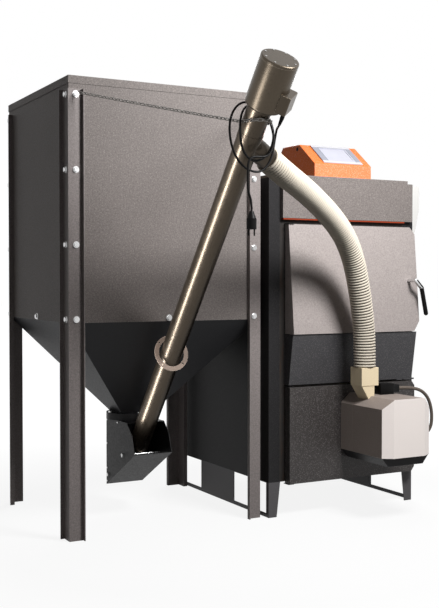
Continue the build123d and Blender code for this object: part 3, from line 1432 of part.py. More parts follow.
def burner_fan():
    """Fan wheel on its shaft behind the front of the cover."""
    face = Plane(origin=(MIDDLE_X, FAN_Y, FLAME_HEIGHT), z_dir=(0, 1, 0))
    wheel = drum(FAN_HUB, 0, FAN_DEPTH) + drum(FAN_RADIUS, FAN_DEPTH - SHEET, FAN_DEPTH)
    for blade in range(FAN_BLADES):
        plate = block((FAN_HUB - 1, FAN_RADIUS), (-SHEET / 2, SHEET / 2), (0, FAN_DEPTH))
        wheel += Rot(0, 0, 360 * blade / FAN_BLADES) * plate
    wheel -= drum(FAN_SHAFT + HINGE_FIT, SHEET, FAN_DEPTH + 1)
    return face * wheel


def hose_adapter():
    """Square box under the hose, with the chute that narrows into the burner."""
    body = block(ADAPTER_X, ADAPTER_Y, ADAPTER_Z) + prism_y(chute_profile(), inset(ADAPTER_Y, SHEET))
    x = inset(ADAPTER_X, ADAPTER_WALL)
    y = inset(ADAPTER_Y, ADAPTER_WALL)
    floor = ADAPTER_Z[0] + SHEET
    body -= block(x, y, (floor, ADAPTER_Z[1] + 1))
    low = BURNER_TOP - BURNER_TOP_CHAMFER[1] - 1
    passage = [(x[0] + SHEET, floor + 1), (CHUTE_NARROW - SHEET, floor + 1), (CHUTE_NARROW - SHEET, low),
               (CHUTE_NARROW - CHUTE_MOUTH + SHEET, low)]
    return body - prism_y(passage, inset(y, SHEET))


def burner_connector():
    """Inlet on the burner's top with its angled plug, and the cable's gland on the side."""
    inlet = block(CONNECTOR_X, CONNECTOR_Y, CONNECTOR_Z)
    x, y, z = CABLE_START
    plug = block((CONNECTOR_X[1] - PLUG_INSERT, x), (y - PLUG_HALF, y + PLUG_HALF), (z - PLUG_HALF, z + PLUG_HALF))
    gland = rod((BURNER_X[1], CABLE_END[1], CABLE_END[2]), CABLE_END, CABLE_RADIUS + CABLE_GLAND_WALL)
    return group([inlet + plug, gland])


def burner_cable():
    return corded("cable", [CABLE_START] + CABLE_ROUTE + [CABLE_END], CABLE_RADIUS)


def side_cover():
    """Pale moulded cover on the right side, narrower towards its lower end."""
    x = (BODY_RIGHT, BODY_RIGHT + SIDE_COVER_DEPTH)
    z = SIDE_COVER_Z
    slope = SIDE_COVER_DEPTH / 2
    body = prism_y([(x[0], z[0]), (x[1] - slope, z[0]), (x[1], (z[0] + z[1]) / 2), (x[1], z[1]), (x[0], z[1])],
                   SIDE_COVER_Y)
    edges = body.edges().filter_by(Axis.Y).sort_by(Axis.X)[-2:]
    return fillet(edges, SIDE_COVER_ROUND)


def feeder():
    """Hopper, conveyor and hose, in the layout's frame."""
    return {
        "hopper_bin": hopper_bin(),
        "hopper_funnel": hopper_funnel(),
        "hopper_leg_front_left": leg(False, False),
        "hopper_leg_front_right": leg(True, False),
        "hopper_leg_rear_left": leg(False, True),
        "hopper_leg_rear_right": leg(True, True),
        "hopper_bolts": hopper_bolts(),
        "hopper_lid": hopper_lid(),
        "lid_hinge_fixed": lid_hinge_fixed(),
        "lid_hinge_moving": lid_hinge_moving(),
        "funnel_flange": funnel_flange(),
        "trough_flange": trough_flange(),
        "intake_trough": intake_trough(),
        "feeder_fasteners": feeder_fasteners(),
        "auger_tube": auger_tube(),
        "auger_screw": auger_screw(),
        "auger_ring": auger_ring(),
        "gearmotor_housing": gearmotor_housing(),
        "gearmotor_drive": gearmotor_drive(),
        "gearmotor_cap": gearmotor_cap(),
        "gearmotor_screws": gearmotor_screws(),
        "terminal_box": terminal_box(),
        "power_cord_gland": power_cord_gland(),
        "power_cord": power_cord(),
        "power_cord_coil": power_cord_coil(),
        "power_plug": power_plug(),
        "support_chain": support_chain(),
        "feed_hose": feed_hose(),
    }


def boiler():
    """Boiler with its burner, from its own left side."""
    return {
        "hose_adapter": hose_adapter(),
        "boiler_casing": boiler_casing(),
        "boiler_vessel": boiler_vessel(),
        "casing_insulation": casing_insulation(),
        "exchanger_baffles": exchanger_baffles(),
        "ash_pan": ash_pan(),
        "boiler_base": boiler_base(),
        "fascia": fascia(),
        "fascia_trim": fascia_trim(),
        "top_cover": top_cover(),
        "upper_door": upper_door(),
        "upper_door_insulation": upper_door_insulation(),
        "upper_door_seal": rope_seal(UPPER_CHAMBER),
        "upper_door_hinges": door_hinges((UPPER_DOOR_BOTTOM, UPPER_DOOR_TOP)),
        "upper_door_handle": upper_door_handle(),
        "middle_panel": middle_panel(),
        "lower_door": lower_door(),
        "lower_door_insulation": lower_door_insulation(),
        "lower_door_seal": rope_seal(LOWER_CHAMBER),
        "lower_door_hinges": door_hinges((LOWER_DOOR_BOTTOM, LOWER_DOOR_TOP)),
        "lower_door_handle": lower_door_handle(),
        "controller_case": controller_case(),
        "controller_bezel": controller_bezel(),
        "controller_screen": controller_screen(),
        "burner_housing": burner_housing(),
        "burner_cover": burner_cover(),
        "burner_chassis": burner_chassis(),
        "flame_tube": flame_tube(),
        "burner_fan": burner_fan(),
        "burner_connector": burner_connector(),
        "burner_cable": burner_cable(),
        "side_cover": side_cover(),
    }


def build():
    """All nodes by name, in the layout's frame."""
    return feeder() | {name: Pos(BOILER_X, 0, 0) * shape for name, shape in boiler().items()}


def layout_shift(nodes):
    """Move that puts the origin below the middle of all but the cords."""
    held = [shape for name, shape in nodes.items() if name not in CORD_NODES]
    middle = Compound(held).bounding_box().center()
    return -middle.X, -middle.Y


def main():
    nodes = build()
    x, y = layout_shift(nodes)
    print("layout shift", round(x, 3), round(y, 3))
    os.makedirs("parts", exist_ok=True)
    for name, shape in nodes.items():
        export_step(Pos(x, y, 0) * shape, f"parts/{name}.step")


if __name__ == "__main__":
    main()
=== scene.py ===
import json
import math

import bmesh
import bpy
from mathutils import Matrix, Vector


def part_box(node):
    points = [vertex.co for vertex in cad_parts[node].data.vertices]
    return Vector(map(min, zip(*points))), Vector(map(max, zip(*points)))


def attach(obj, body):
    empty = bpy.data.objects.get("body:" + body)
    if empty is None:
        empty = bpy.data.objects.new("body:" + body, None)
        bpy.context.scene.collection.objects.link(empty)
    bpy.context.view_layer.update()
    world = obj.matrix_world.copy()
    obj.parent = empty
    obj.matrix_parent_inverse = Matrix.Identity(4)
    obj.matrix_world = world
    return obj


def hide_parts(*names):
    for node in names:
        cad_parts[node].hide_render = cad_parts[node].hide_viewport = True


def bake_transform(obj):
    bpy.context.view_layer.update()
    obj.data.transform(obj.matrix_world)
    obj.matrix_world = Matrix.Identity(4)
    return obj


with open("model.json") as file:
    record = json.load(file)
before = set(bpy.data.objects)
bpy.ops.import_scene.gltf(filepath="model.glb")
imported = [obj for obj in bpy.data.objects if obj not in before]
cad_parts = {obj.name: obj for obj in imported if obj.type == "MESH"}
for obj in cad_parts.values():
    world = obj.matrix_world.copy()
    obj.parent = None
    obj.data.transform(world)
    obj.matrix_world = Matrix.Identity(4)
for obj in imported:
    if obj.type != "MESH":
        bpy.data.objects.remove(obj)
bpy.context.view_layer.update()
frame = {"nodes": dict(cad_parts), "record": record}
nodes = frame["nodes"]
body_of_node = {n: b for b, ns in frame["record"]["behaviour"]["bodies"].items() for n in ns}
slot_of_node = {s["node"]: s["material_slot"] for s in frame["record"]["subparts"]}

# Places are written in millimetres from the hopper's front left foot, as the CAD lays them out
SHIFT_X, SHIFT_Y = -725.5, -26.564


def at(x, y, z):
    return Vector(((x + SHIFT_X) / 1000, (y + SHIFT_Y) / 1000, z / 1000))


# ---------------------------------------------------------------- camera and light

def make_camera():
    data = bpy.data.cameras.new("camera")
    data.sensor_fit = "AUTO"
    data.sensor_width = 36
    data.lens = 59.86
    data.clip_end = 100
    camera = bpy.data.objects.new("camera", data)
    camera.location = at(-1151.3, -3199.5, 881.5)
    camera.rotation_euler = (math.radians(90 - 1.4345), 0, math.radians(-28.2745))
    bpy.context.scene.collection.objects.link(camera)
    bpy.context.scene.camera = camera


def area_lamp(name, width, height, power):
    data = bpy.data.lights.new(name, "AREA")
    data.shape = "RECTANGLE"
    data.size, data.size_y = width, height
    data.energy = power
    lamp = bpy.data.objects.new(name, data)
    bpy.context.scene.collection.objects.link(lamp)
    return lamp


def make_area(name, place, target, width, height, power):
    lamp = area_lamp(name, width, height, power)
    lamp.location = place
    lamp.rotation_euler = (place - target).to_track_quat("Z", "Y").to_euler()


def make_strip(name, middle, away, along, width, length, power, lit):
    """Long lamp beside a tube and parallel to it, which lights only these pieces."""
    lamp = area_lamp(name, width, length, power)
    y = along.normalized()
    z = (away - y * away.dot(y)).normalized()
    lamp.matrix_world = Matrix.Translation(middle) @ Matrix((y.cross(z), y, z)).transposed().to_4x4()
    lamp.visible_camera = False
    group = bpy.data.collections.new(name + "_lit")
    for piece in lit:
        group.objects.link(bpy.data.objects[piece])
    lamp.light_linking.receiver_collection = group


def seen_directly(tree):
    """1 for camera, mirror and glass rays."""
    path = tree.nodes.new("ShaderNodeLightPath")
    first = math_node(tree, "MAXIMUM", path.outputs["Is Camera Ray"], path.outputs["Is Glossy Ray"])
    return math_node(tree, "MAXIMUM", first, path.outputs["Is Transmission Ray"])


def make_world():
    world = bpy.data.worlds.new("studio")
    bpy.context.scene.world = world
    world.use_nodes = True
    tree = world.node_tree
    tree.nodes.clear()
    out = tree.nodes.new("ShaderNodeOutputWorld")
    dim = tree.nodes.new("ShaderNodeBackground")
    dim.inputs["Color"].default_value = (1, 1, 1, 1)
    dim.inputs["Strength"].default_value = AMBIENT
    white = tree.nodes.new("ShaderNodeBackground")
    white.inputs["Color"].default_value = (1, 1, 1, 1)
    white.inputs["Strength"].default_value = 1
    mix = tree.nodes.new("ShaderNodeMixShader")
    tree.links.new(seen_directly(tree), mix.inputs["Fac"])
    tree.links.new(dim.outputs[0], mix.inputs[1])
    tree.links.new(white.outputs[0], mix.inputs[2])
    tree.links.new(mix.outputs[0], out.inputs["Surface"])


def make_floor():
    half = FLOOR_HALF
    corners = [(-half, -half, 0), (half, -half, 0), (half, half, 0), (-half, half, 0)]
    mesh = bpy.data.meshes.new("floor")
    mesh.from_pydata(corners, [], [(0, 1, 2, 3)])
    floor = bpy.data.objects.new("floor", mesh)
    floor.location.z = -FLOOR_DROP
    bpy.context.scene.collection.objects.link(floor)
    material = bpy.data.materials.new("floor")
    material.use_nodes = True
    tree = material.node_tree
    tree.nodes.clear()
    out = tree.nodes.new("ShaderNodeOutputMaterial")
    lit = tree.nodes.new("ShaderNodeBsdfDiffuse")
    lit.inputs["Color"].default_value = (FLOOR_LIT, FLOOR_LIT, FLOOR_LIT, 1)
    glow = tree.nodes.new("ShaderNodeEmission")
    coords = tree.nodes.new("ShaderNodeTexCoord").outputs["Object"]
    far = tree.nodes.new("ShaderNodeVectorMath")
    far.operation = "LENGTH"
    tree.links.new(coords, far.inputs[0])
    tree.links.new(ramp(tree, far.outputs["Value"], *FLOOR_FADE, FLOOR_NEAR, 1.0), glow.inputs["Strength"])
    white = tree.nodes.new("ShaderNodeAddShader")
    tree.links.new(lit.outputs[0], white.inputs[0])
    tree.links.new(glow.outputs[0], white.inputs[1])
    dull = tree.nodes.new("ShaderNodeBsdfDiffuse")
    dull.inputs["Color"].default_value = (FLOOR_DULL, FLOOR_DULL, FLOOR_DULL, 1)
    mix = tree.nodes.new("ShaderNodeMixShader")
    tree.links.new(seen_directly(tree), mix.inputs["Fac"])
    tree.links.new(dull.outputs[0], mix.inputs[1])
    tree.links.new(white.outputs[0], mix.inputs[2])
    tree.links.new(mix.outputs[0], out.inputs["Surface"])
    mesh.materials.append(material)


# ---------------------------------------------------------------- materials

AMBIENT = 0.035
FLOOR_HALF = 30
FLOOR_DROP = 0.0005
# The floor as it is seen: its grey under the lamps, and its own white near the object and
# beyond these distances. Then its grey as the object gets it.
FLOOR_LIT = 0.12
FLOOR_NEAR = 0.88
FLOOR_FADE = (1.0, 2.6)
FLOOR_DULL = 0.25


def socket(tree, target, value):
    if isinstance(value, bpy.types.NodeSocket):
        tree.links.new(value, target)
    else:
        target.default_value = value


def math_node(tree, operation, first, second=0.0):
    node = tree.nodes.new("ShaderNodeMath")
    node.operation = operation
    socket(tree, node.inputs[0], first)
    socket(tree, node.inputs[1], second)
    return node.outputs[0]


def noise(tree, coords, scale, detail=2.0, rough=0.5, stretch=(1, 1, 1)):
    mapping = tree.nodes.new("ShaderNodeMapping")
    mapping.inputs["Scale"].default_value = stretch
    tree.links.new(coords, mapping.inputs["Vector"])
    node = tree.nodes.new("ShaderNodeTexNoise")
    node.inputs["Scale"].default_value = scale
    node.inputs["Detail"].default_value = detail
    node.inputs["Roughness"].default_value = rough
    tree.links.new(mapping.outputs[0], node.inputs["Vector"])
    return node.outputs["Fac"]


def ramp(tree, value, low, high, start=0.0, end=1.0):
    node = tree.nodes.new("ShaderNodeMapRange")
    node.clamp = True
    tree.links.new(value, node.inputs["Value"])
    node.inputs["From Min"].default_value = low
    node.inputs["From Max"].default_value = high
    node.inputs["To Min"].default_value = start
    node.inputs["To Max"].default_value = end
    return node.outputs["Result"]


def blend_colour(tree, share, first, second):
    node = tree.nodes.new("ShaderNodeMix")
    node.data_type = "RGBA"
    socket(tree, node.inputs["Factor"], share)
    for target, colour in ((node.inputs[6], first), (node.inputs[7], second)):
        socket(tree, target, colour if isinstance(colour, bpy.types.NodeSocket) else (*colour, 1))
    return node.outputs[2]


def tinted(colour, factor):
    return tuple(min(1, c * factor) for c in colour)


def from_srgb(red, green, blue):
    """Linear colour from one written as 0 to 255."""
    out = []
    for part in (red, green, blue):
        share = part / 255
        out.append(share / 12.92 if share <= 0.04045 else ((share + 0.055) / 1.055) ** 2.4)
    return tuple(out)


def edge_mask(tree, radius):
    """Near 1 along convex and concave edges, from the difference to a bevelled normal."""
    bevel = tree.nodes.new("ShaderNodeBevel")
    bevel.samples = 4
    bevel.inputs["Radius"].default_value = radius
    plain = tree.nodes.new("ShaderNodeNewGeometry")
    dot = tree.nodes.new("ShaderNodeVectorMath")
    dot.operation = "DOT_PRODUCT"
    tree.links.new(bevel.outputs[0], dot.inputs[0])
    tree.links.new(plain.outputs["Normal"], dot.inputs[1])
    return ramp(tree, dot.outputs["Value"], 0.985, 0.8)


def finish_material(name, colour, spread=0.12, grain=220, rough=0.5, rough_spread=0.1, bump=0.3, depth=0.0003,
                    metallic=0.0, specular=0.3, specks=None, wear=None, stretch=(1, 1, 1), coat=0.0,
                    cloud=0.08, cloud_scale=4, streaks=None):
    """Procedural surface: clouds, grain, specks, streaks, worn edges, uneven gloss and relief."""
    material = bpy.data.materials.new(name)
    material.use_nodes = True
    tree = material.node_tree
    shader = tree.nodes["Principled BSDF"]
    coords = tree.nodes.new("ShaderNodeTexCoord").outputs["Object"]
    clouds = noise(tree, coords, cloud_scale, 3, 0.55, stretch)
    fine = noise(tree, coords, grain, 3, 0.65, stretch)
    tones = []
    for field, share in ((fine, spread), (clouds, cloud)):
        ends = (tinted(colour, 1 - share), tinted(colour, 1 + share))
        tones.append(blend_colour(tree, ramp(tree, field, 0.3, 0.7), *ends))
    tone = blend_colour(tree, 0.5, *tones)
    if specks:
        scale, size, speck_colour, amount = specks
        cells = tree.nodes.new("ShaderNodeTexVoronoi")
        cells.inputs["Scale"].default_value = scale
        tree.links.new(coords, cells.inputs["Vector"])
        dots = ramp(tree, cells.outputs["Distance"], size, size * 0.4)
        tone = blend_colour(tree, math_node(tree, "MULTIPLY", dots, amount), tone, speck_colour)
    if streaks:
        along, streak_colour, amount = streaks
        lines = ramp(tree, noise(tree, coords, 60, 4, 0.6, along), 0.5, 0.75)
        tone = blend_colour(tree, math_node(tree, "MULTIPLY", lines, amount), tone, streak_colour)
    roughness = ramp(tree, fine, 0.25, 0.75, max(0.02, rough - rough_spread), min(1, rough + rough_spread))
    if wear:
        radius, wear_colour, amount = wear
        rubbed = math_node(tree, "MULTIPLY", edge_mask(tree, radius), ramp(tree, fine, 0.35, 0.6, 0.3, 1))
        tone = blend_colour(tree, math_node(tree, "MULTIPLY", rubbed, amount), tone, wear_colour)
    tree.links.new(tone, shader.inputs["Base Color"])
    tree.links.new(roughness, shader.inputs["Roughness"])
    shader.inputs["Metallic"].default_value = metallic
    shader.inputs["Specular IOR Level"].default_value = specular
    shader.inputs["Coat Weight"].default_value = coat
    relief = tree.nodes.new("ShaderNodeBump")
    relief.inputs["Strength"].default_value = bump
    relief.inputs["Distance"].default_value = depth
    tree.links.new(fine, relief.inputs["Height"])
    tree.links.new(relief.outputs[0], shader.inputs["Normal"])
    return material


WORN = from_srgb(205, 200, 196)

MATERIALS = {
    "grey_paint": finish_material(
        "speckled_grey_paint", from_srgb(124, 117, 114), 0.5, 170, 0.5, 0.12, 0.7, 0.0006, specular=0.08,
        specks=(230, 0.36, from_srgb(176, 168, 164), 0.5), wear=(0.002, WORN, 0.45), cloud=0.1),
    "door_paint": finish_material(
        "pale_speckled_paint", from_srgb(169, 160, 157), 0.3, 170, 0.5, 0.12, 0.7, 0.0006, specular=0.15,
        specks=(230, 0.36, from_srgb(132, 124, 121), 0.55), wear=(0.002, WORN, 0.4), cloud=0.04),
    "leg_paint": finish_material(
        "speckled_leg_paint", from_srgb(136, 128, 126), 0.4, 180, 0.5, 0.12, 0.5, 0.0005, specular=0.2,
        specks=(250, 0.34, from_srgb(180, 172, 168), 0.45), wear=(0.0015, WORN, 0.4)),
    # Dark grey for the funnel in place of the bin's grey paint: painted shade on its downward faces
    "funnel_paint": finish_material(
        "funnel_paint_with_painted_shade", from_srgb(52, 52, 54), 0.25, 200, 0.5, 0.12, 0.4, specular=0.15,
        specks=(320, 0.28, from_srgb(84, 84, 86), 0.25), wear=(0.0015, from_srgb(110, 108, 106), 0.4)),
    "body_paint": finish_material(
        "black_body_paint", from_srgb(44, 43, 44), 0.3, 230, 0.42, 0.14, 0.5, 0.0004, specular=0.07,
        specks=(330, 0.3, from_srgb(120, 118, 118), 0.3), wear=(0.0015, from_srgb(120, 118, 116), 0.35)),
    "panel_paint": finish_material(
        "dark_panel_paint", from_srgb(66, 65, 67), 0.25, 210, 0.4, 0.14, 0.5, 0.0005, specular=0.25,
        specks=(240, 0.3, from_srgb(170, 168, 168), 0.4), wear=(0.0015, from_srgb(150, 148, 146), 0.4)),
    "hammered_paint": finish_material(
        "hammered_dark_paint", from_srgb(62, 58, 57), 0.4, 200, 0.38, 0.16, 1.0, 0.0008, specular=0.3,
        specks=(240, 0.33, from_srgb(168, 164, 162), 0.5), wear=(0.0015, from_srgb(150, 148, 146), 0.4)),
    "black_steel": finish_material(
        "black_steel", from_srgb(32, 31, 32), 0.3, 180, 0.45, 0.15, 0.3, specular=0.15,
        wear=(0.0012, from_srgb(96, 94, 92), 0.5)),
    "boiler_steel": finish_material(
        "boiler_steel", from_srgb(46, 43, 41), 0.35, 60, 0.7, 0.15, 0.4, specular=0.2,
        streaks=((1, 1, 0.2), from_srgb(74, 52, 38), 0.4)),
    "zinc": finish_material(
        "zinc_plating", from_srgb(205, 205, 205), 0.12, 500, 0.28, 0.08, 0.15, metallic=1.0,
        wear=(0.0008, (1, 1, 1), 0.4)),
    "tube_steel": finish_material(
        "bronze_brown_tube", from_srgb(64, 57, 49), 0.14, 90, 0.3, 0.05, 0.1, 0.0002, metallic=0.9,
        stretch=(2.5, 0.5, 0.5), wear=(0.001, from_srgb(150, 132, 116), 0.4)),
    "ring_steel": finish_material(
        "ring_steel", from_srgb(92, 80, 72), 0.2, 160, 0.42, 0.1, 0.3, metallic=0.5, specular=0.25,
        wear=(0.001, from_srgb(190, 180, 170), 0.5)),
    "motor_can": finish_material(
        "motor_can", from_srgb(78, 70, 60), 0.12, 140, 0.31, 0.05, 0.12, 0.0002, metallic=0.85,
        wear=(0.0012, from_srgb(205, 192, 175), 0.6)),
    "gear_case": finish_material(
        "gear_casting", from_srgb(70, 70, 70), 0.3, 120, 0.6, 0.1, 0.6, metallic=0.5),
    "silver_paint": finish_material(
        "silver_paint", from_srgb(240, 231, 226), 0.05, 420, 0.42, 0.06, 0.25, 0.0002, metallic=0.45,
        specular=0.3, wear=(0.001, (0.95, 0.94, 0.92), 0.6), cloud=0.04),
    "burner_side_paint": finish_material(
        "brown_grey_paint", from_srgb(156, 144, 137), 0.25, 300, 0.5, 0.1, 0.4, 0.0003, specular=0.2,
        specks=(320, 0.3, from_srgb(190, 180, 174), 0.35), wear=(0.001, from_srgb(220, 212, 206), 0.5)),
    "orange_paint": finish_material(
        "orange_paint", from_srgb(233, 116, 52), 0.14, 260, 0.4, 0.1, 0.35, 0.0003, specular=0.2,
        specks=(250, 0.36, from_srgb(252, 204, 168), 0.6), wear=(0.001, from_srgb(250, 190, 160), 0.5)),
    # Dark red-brown for the orange fascia trim: painted shade of the recess it sits in
    "orange_trim_painted_shade": finish_material(
        "orange_trim_painted_shade", from_srgb(150, 58, 30), 0.14, 260, 0.4, 0.1, 0.35, 0.0003, specular=0.2,
        wear=(0.001, from_srgb(200, 120, 90), 0.4)),
    # Paler orange with stronger specks for the controller's front faces: painted light on its lit front, over
    # real speckle
    "orange_front_painted_light": finish_material(
        "orange_paint_with_painted_light", from_srgb(232, 128, 84), 0.2, 240, 0.45, 0.1, 0.5, 0.0005, specular=0.2,
        specks=(230, 0.4, from_srgb(250, 205, 176), 0.6), wear=(0.001, from_srgb(250, 190, 160), 0.5)),
    "bezel_film": finish_material(
        "bezel_film", from_srgb(146, 148, 160), 0.04, 300, 0.35, 0.05, 0.1, 0.0001, specular=0.3),
    "screen": finish_material(
        "screen_film", from_srgb(186, 186, 198), 0.04, 40, 0.2, 0.04, 0.03, 0.0001, specular=0.3, coat=0.1),
    "cover_paint": finish_material(
        "cover_paint", from_srgb(214, 213, 210), 0.04, 260, 0.5, 0.06, 0.15, 0.0001),
    "base_paint": finish_material(
        "base_paint", from_srgb(92, 90, 92), 0.25, 230, 0.45, 0.12, 0.5, 0.0004, specular=0.2,
        specks=(330, 0.3, from_srgb(130, 128, 128), 0.3), wear=(0.0015, from_srgb(150, 148, 146), 0.35)),
    "adapter_paint": finish_material(
        "cream_adapter_paint", from_srgb(240, 222, 188), 0.08, 240, 0.45, 0.08, 0.3, 0.0002, specular=0.2,
        wear=(0.001, from_srgb(250, 240, 215), 0.5)),
    "black_plastic": finish_material(
        "black_plastic", from_srgb(17, 16, 16), 0.2, 400, 0.4, 0.08, 0.25, 0.0001, specular=0.08),
    "cord_rubber": finish_material(
        "black_cord", from_srgb(15, 14, 14), 0.2, 500, 0.45, 0.08, 0.2, 0.0001, specular=0.1),
    "braid": finish_material(
        "grey_braid", from_srgb(112, 102, 94), 0.5, 700, 0.65, 0.12, 0.6, 0.0003, specular=0.2),
    "hose_plastic": finish_material(
        "cream_hose", from_srgb(206, 197, 182), 0.05, 200, 0.5, 0.08, 0.2, 0.0002, specular=0.12, cloud=0.04),
    # Dark brown for the groove faces of the cream hose: painted shade in its grooves
    "hose_groove_painted_shade": finish_material(
        "hose_groove_painted_shade", from_srgb(78, 69, 56), 0.1, 200, 0.6, 0.08, 0.2, 0.0002, specular=0.1, cloud=0.04),
    "wool": finish_material(
        "mineral_wool", from_srgb(176, 160, 104), 0.3, 300, 0.95, 0.04, 1.0, 0.002, stretch=(1, 1, 3)),
    "rope": finish_material(
        "glass_rope", from_srgb(214, 208, 196), 0.25, 500, 0.9, 0.06, 1.0, 0.001),
    "chain_steel": finish_material(
        "chain_steel", from_srgb(118, 115, 112), 0.2, 400, 0.34, 0.08, 0.2, metallic=1.0),
    "bright_steel": finish_material(
        "bright_steel", from_srgb(225, 225, 225), 0.08, 500, 0.22, 0.06, 0.1, metallic=1.0),
}


def paint_bezel():
    """White lips at the upper and lower end, and a pale rim with a grey line round the display."""
    tree = MATERIALS["bezel_film"].node_tree
    shader = tree.nodes["Principled BSDF"]
    low, high = (Vector(corner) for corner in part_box("controller_bezel"))
    near, far = (Vector(corner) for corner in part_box("controller_screen"))
    middle, half = (near + far) / 2, (far - near) / 2
    split = tree.nodes.new("ShaderNodeSeparateXYZ")
    tree.links.new(tree.nodes.new("ShaderNodeTexCoord").outputs["Object"], split.inputs[0])
    wide = math_node(tree, "ABSOLUTE", math_node(tree, "SUBTRACT", split.outputs["X"], middle.x))
    tall = math_node(tree, "ABSOLUTE", math_node(tree, "SUBTRACT", split.outputs["Z"], middle.z))
    beyond = math_node(tree, "MAXIMUM", math_node(tree, "SUBTRACT", wide, half.x),
                       math_node(tree, "MULTIPLY", math_node(tree, "SUBTRACT", tall, half.z), BEZEL_SLANT))
    tone = shader.inputs["Base Color"].links[0].from_socket
    rim = math_node(tree, "LESS_THAN", beyond, DISPLAY_RIM)
    line = math_node(tree, "MULTIPLY", math_node(tree, "GREATER_THAN", beyond, DISPLAY_RIM),
                     math_node(tree, "LESS_THAN", beyond, DISPLAY_RIM + DISPLAY_LINE))
    tone = blend_colour(tree, rim, tone, from_srgb(182, 182, 196))
    tone = blend_colour(tree, line, tone, from_srgb(96, 104, 110))
    lips = math_node(tree, "MAXIMUM", math_node(tree, "LESS_THAN", split.outputs["Z"], low.z + BEZEL_LIPS[0]),
                     math_node(tree, "GREATER_THAN", split.outputs["Z"], high.z - BEZEL_LIPS[1]))
    tone = blend_colour(tree, lips, tone, from_srgb(198, 197, 202))
    tree.links.new(tone, shader.inputs["Base Color"])


BEZEL_SLANT = 1.62
BEZEL_LIPS = (0.012, 0.009)
DISPLAY_RIM = 0.007
DISPLAY_LINE = 0.0022
paint_bezel()

# Pieces whose paint is another than their slot's own
PAINTS = {
    "upper_door": "door_paint", "middle_panel": "panel_paint", "fascia_trim": "orange_trim_painted_shade",
    "support_chain": "chain_steel", "controller_bezel": "bezel_film", "boiler_base": "base_paint",
    "burner_housing": "burner_side_paint", "side_cover": "cover_paint",
}


def dress(obj, key):
    obj.data.materials.clear()
    obj.data.materials.append(MATERIALS[key])


# ---------------------------------------------------------------- shapes

def new_object(name, mesh):
    obj = bpy.data.objects.new(name, mesh)
    bpy.context.scene.collection.objects.link(obj)
    return obj


def smooth(mesh, angle=35):
    for polygon in mesh.polygons:
        polygon.use_smooth = True
    mesh.set_sharp_from_angle(angle=math.radians(angle))


# Pieces that are shaded smooth, where sheet stays flat
ROUND = ("upper_door_handle", "lower_door_handle", "burner_connector")
SHAFT_REACH = 0.022
SHAFT_HEIGHT = 0.03


def rounded(node, width):
    """Copy of a CAD piece with its edges eased, in place of the piece."""
    mesh = nodes[node].data.copy()
    made = bmesh.new()
    made.from_mesh(mesh)
    bmesh.ops.remove_doubles(made, verts=made.verts, dist=1e-6)
    bmesh.ops.dissolve_limit(made, angle_limit=0.01, verts=made.verts, edges=made.edges)
    sharp = [e for e in made.edges if len(e.link_faces) == 2 and e.calc_face_angle(0) > math.radians(28)]
    bmesh.ops.bevel(made, geom=sharp, offset=width, offset_type="OFFSET", segments=2, profile=0.5,
                    affect="EDGES", clamp_overlap=True)
    bmesh.ops.triangulate(made, faces=[f for f in made.faces if len(f.verts) > 4])
    made.to_mesh(mesh)
    made.free()
    obj = new_object(node + "_eased", mesh)
    if node in ROUND:
        smooth(mesh)
    else:
        for polygon in mesh.polygons:
            polygon.use_smooth = False
    dress(obj, PAINTS.get(node, slot_of_node[node]))
    place(obj, body_of_node[node], slot_of_node[node])
    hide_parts(node)


def two_toned(name, key, chosen):
    """Second material on the faces that are chosen by their middle and normal."""
    mesh = bpy.data.objects[name].data
    mesh.materials.append(MATERIALS[key])
    for polygon in mesh.polygons:
        if chosen(polygon.center, polygon.normal):
            polygon.material_index = 1


def on_shaft(node):
    """Faces of a door handle that lie on its pivot shaft."""
    low, high = (Vector(corner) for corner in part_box(node))
    return lambda centre, normal: centre.x < low.x + SHAFT_REACH and centre.z > high.z - SHAFT_HEIGHT


def studs(name, key, radius, height, normal, places):
    """Round heads with a dished top, standing on a face of the fixed body."""
    bm = bmesh.new()
    turn = Vector(normal).to_track_quat("Z", "Y").to_matrix().to_4x4()
    for spot in places:
        where = Matrix.Translation(spot) @ turn
        rings = []
        for share, rise in ((1, -0.15), (1, 0.55), (0.82, 1), (0.4, 0.94)):
            ring = []
            for step in range(24):
                turned = math.pi * step / 12
                flat = (radius * share * math.cos(turned), radius * share * math.sin(turned))
                ring.append(bm.verts.new(where @ Vector((*flat, height * rise))))
            rings.append(ring)
        for lower, upper in zip(rings, rings[1:]):
            for step in range(24):
                after = (step + 1) % 24
                bm.faces.new((lower[step], lower[after], upper[after], upper[step]))
        bm.faces.new(list(reversed(rings[0])))
        bm.faces.new(rings[-1])
    mesh = bpy.data.meshes.new(name)
    bm.to_mesh(mesh)
    bm.free()
    obj = new_object(name, mesh)
    smooth(mesh, 40)
    dress(obj, key)
    place(obj, "root", key)


def place(obj, body, slot):
    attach(obj, body)


def nurbs(name, points, radius=0.0):
    """Open spline of order 3 with these control points."""
    data = bpy.data.curves.new(name, "CURVE")
    data.dimensions = "3D"
    data.resolution_u = 12
    spline = data.splines.new("NURBS")
    spline.points.add(len(points) - 1)
    for target, point in zip(spline.points, points):
        target.co = (*point, 1)
    spline.order_u = 3
    spline.use_endpoint_u = True
    data.bevel_depth = radius
    data.bevel_resolution = 4
    data.use_fill_caps = True
    obj = bpy.data.objects.new(name, data)
    bpy.context.scene.collection.objects.link(obj)
    return obj


def curve_points(curve):
    """Points along a curve that has no bevel."""
    bpy.context.view_layer.update()
    mesh = bpy.data.meshes.new_from_object(curve.evaluated_get(bpy.context.evaluated_depsgraph_get()))
    points = [v.co.copy() for v in mesh.vertices]
    bpy.data.meshes.remove(mesh)
    return points


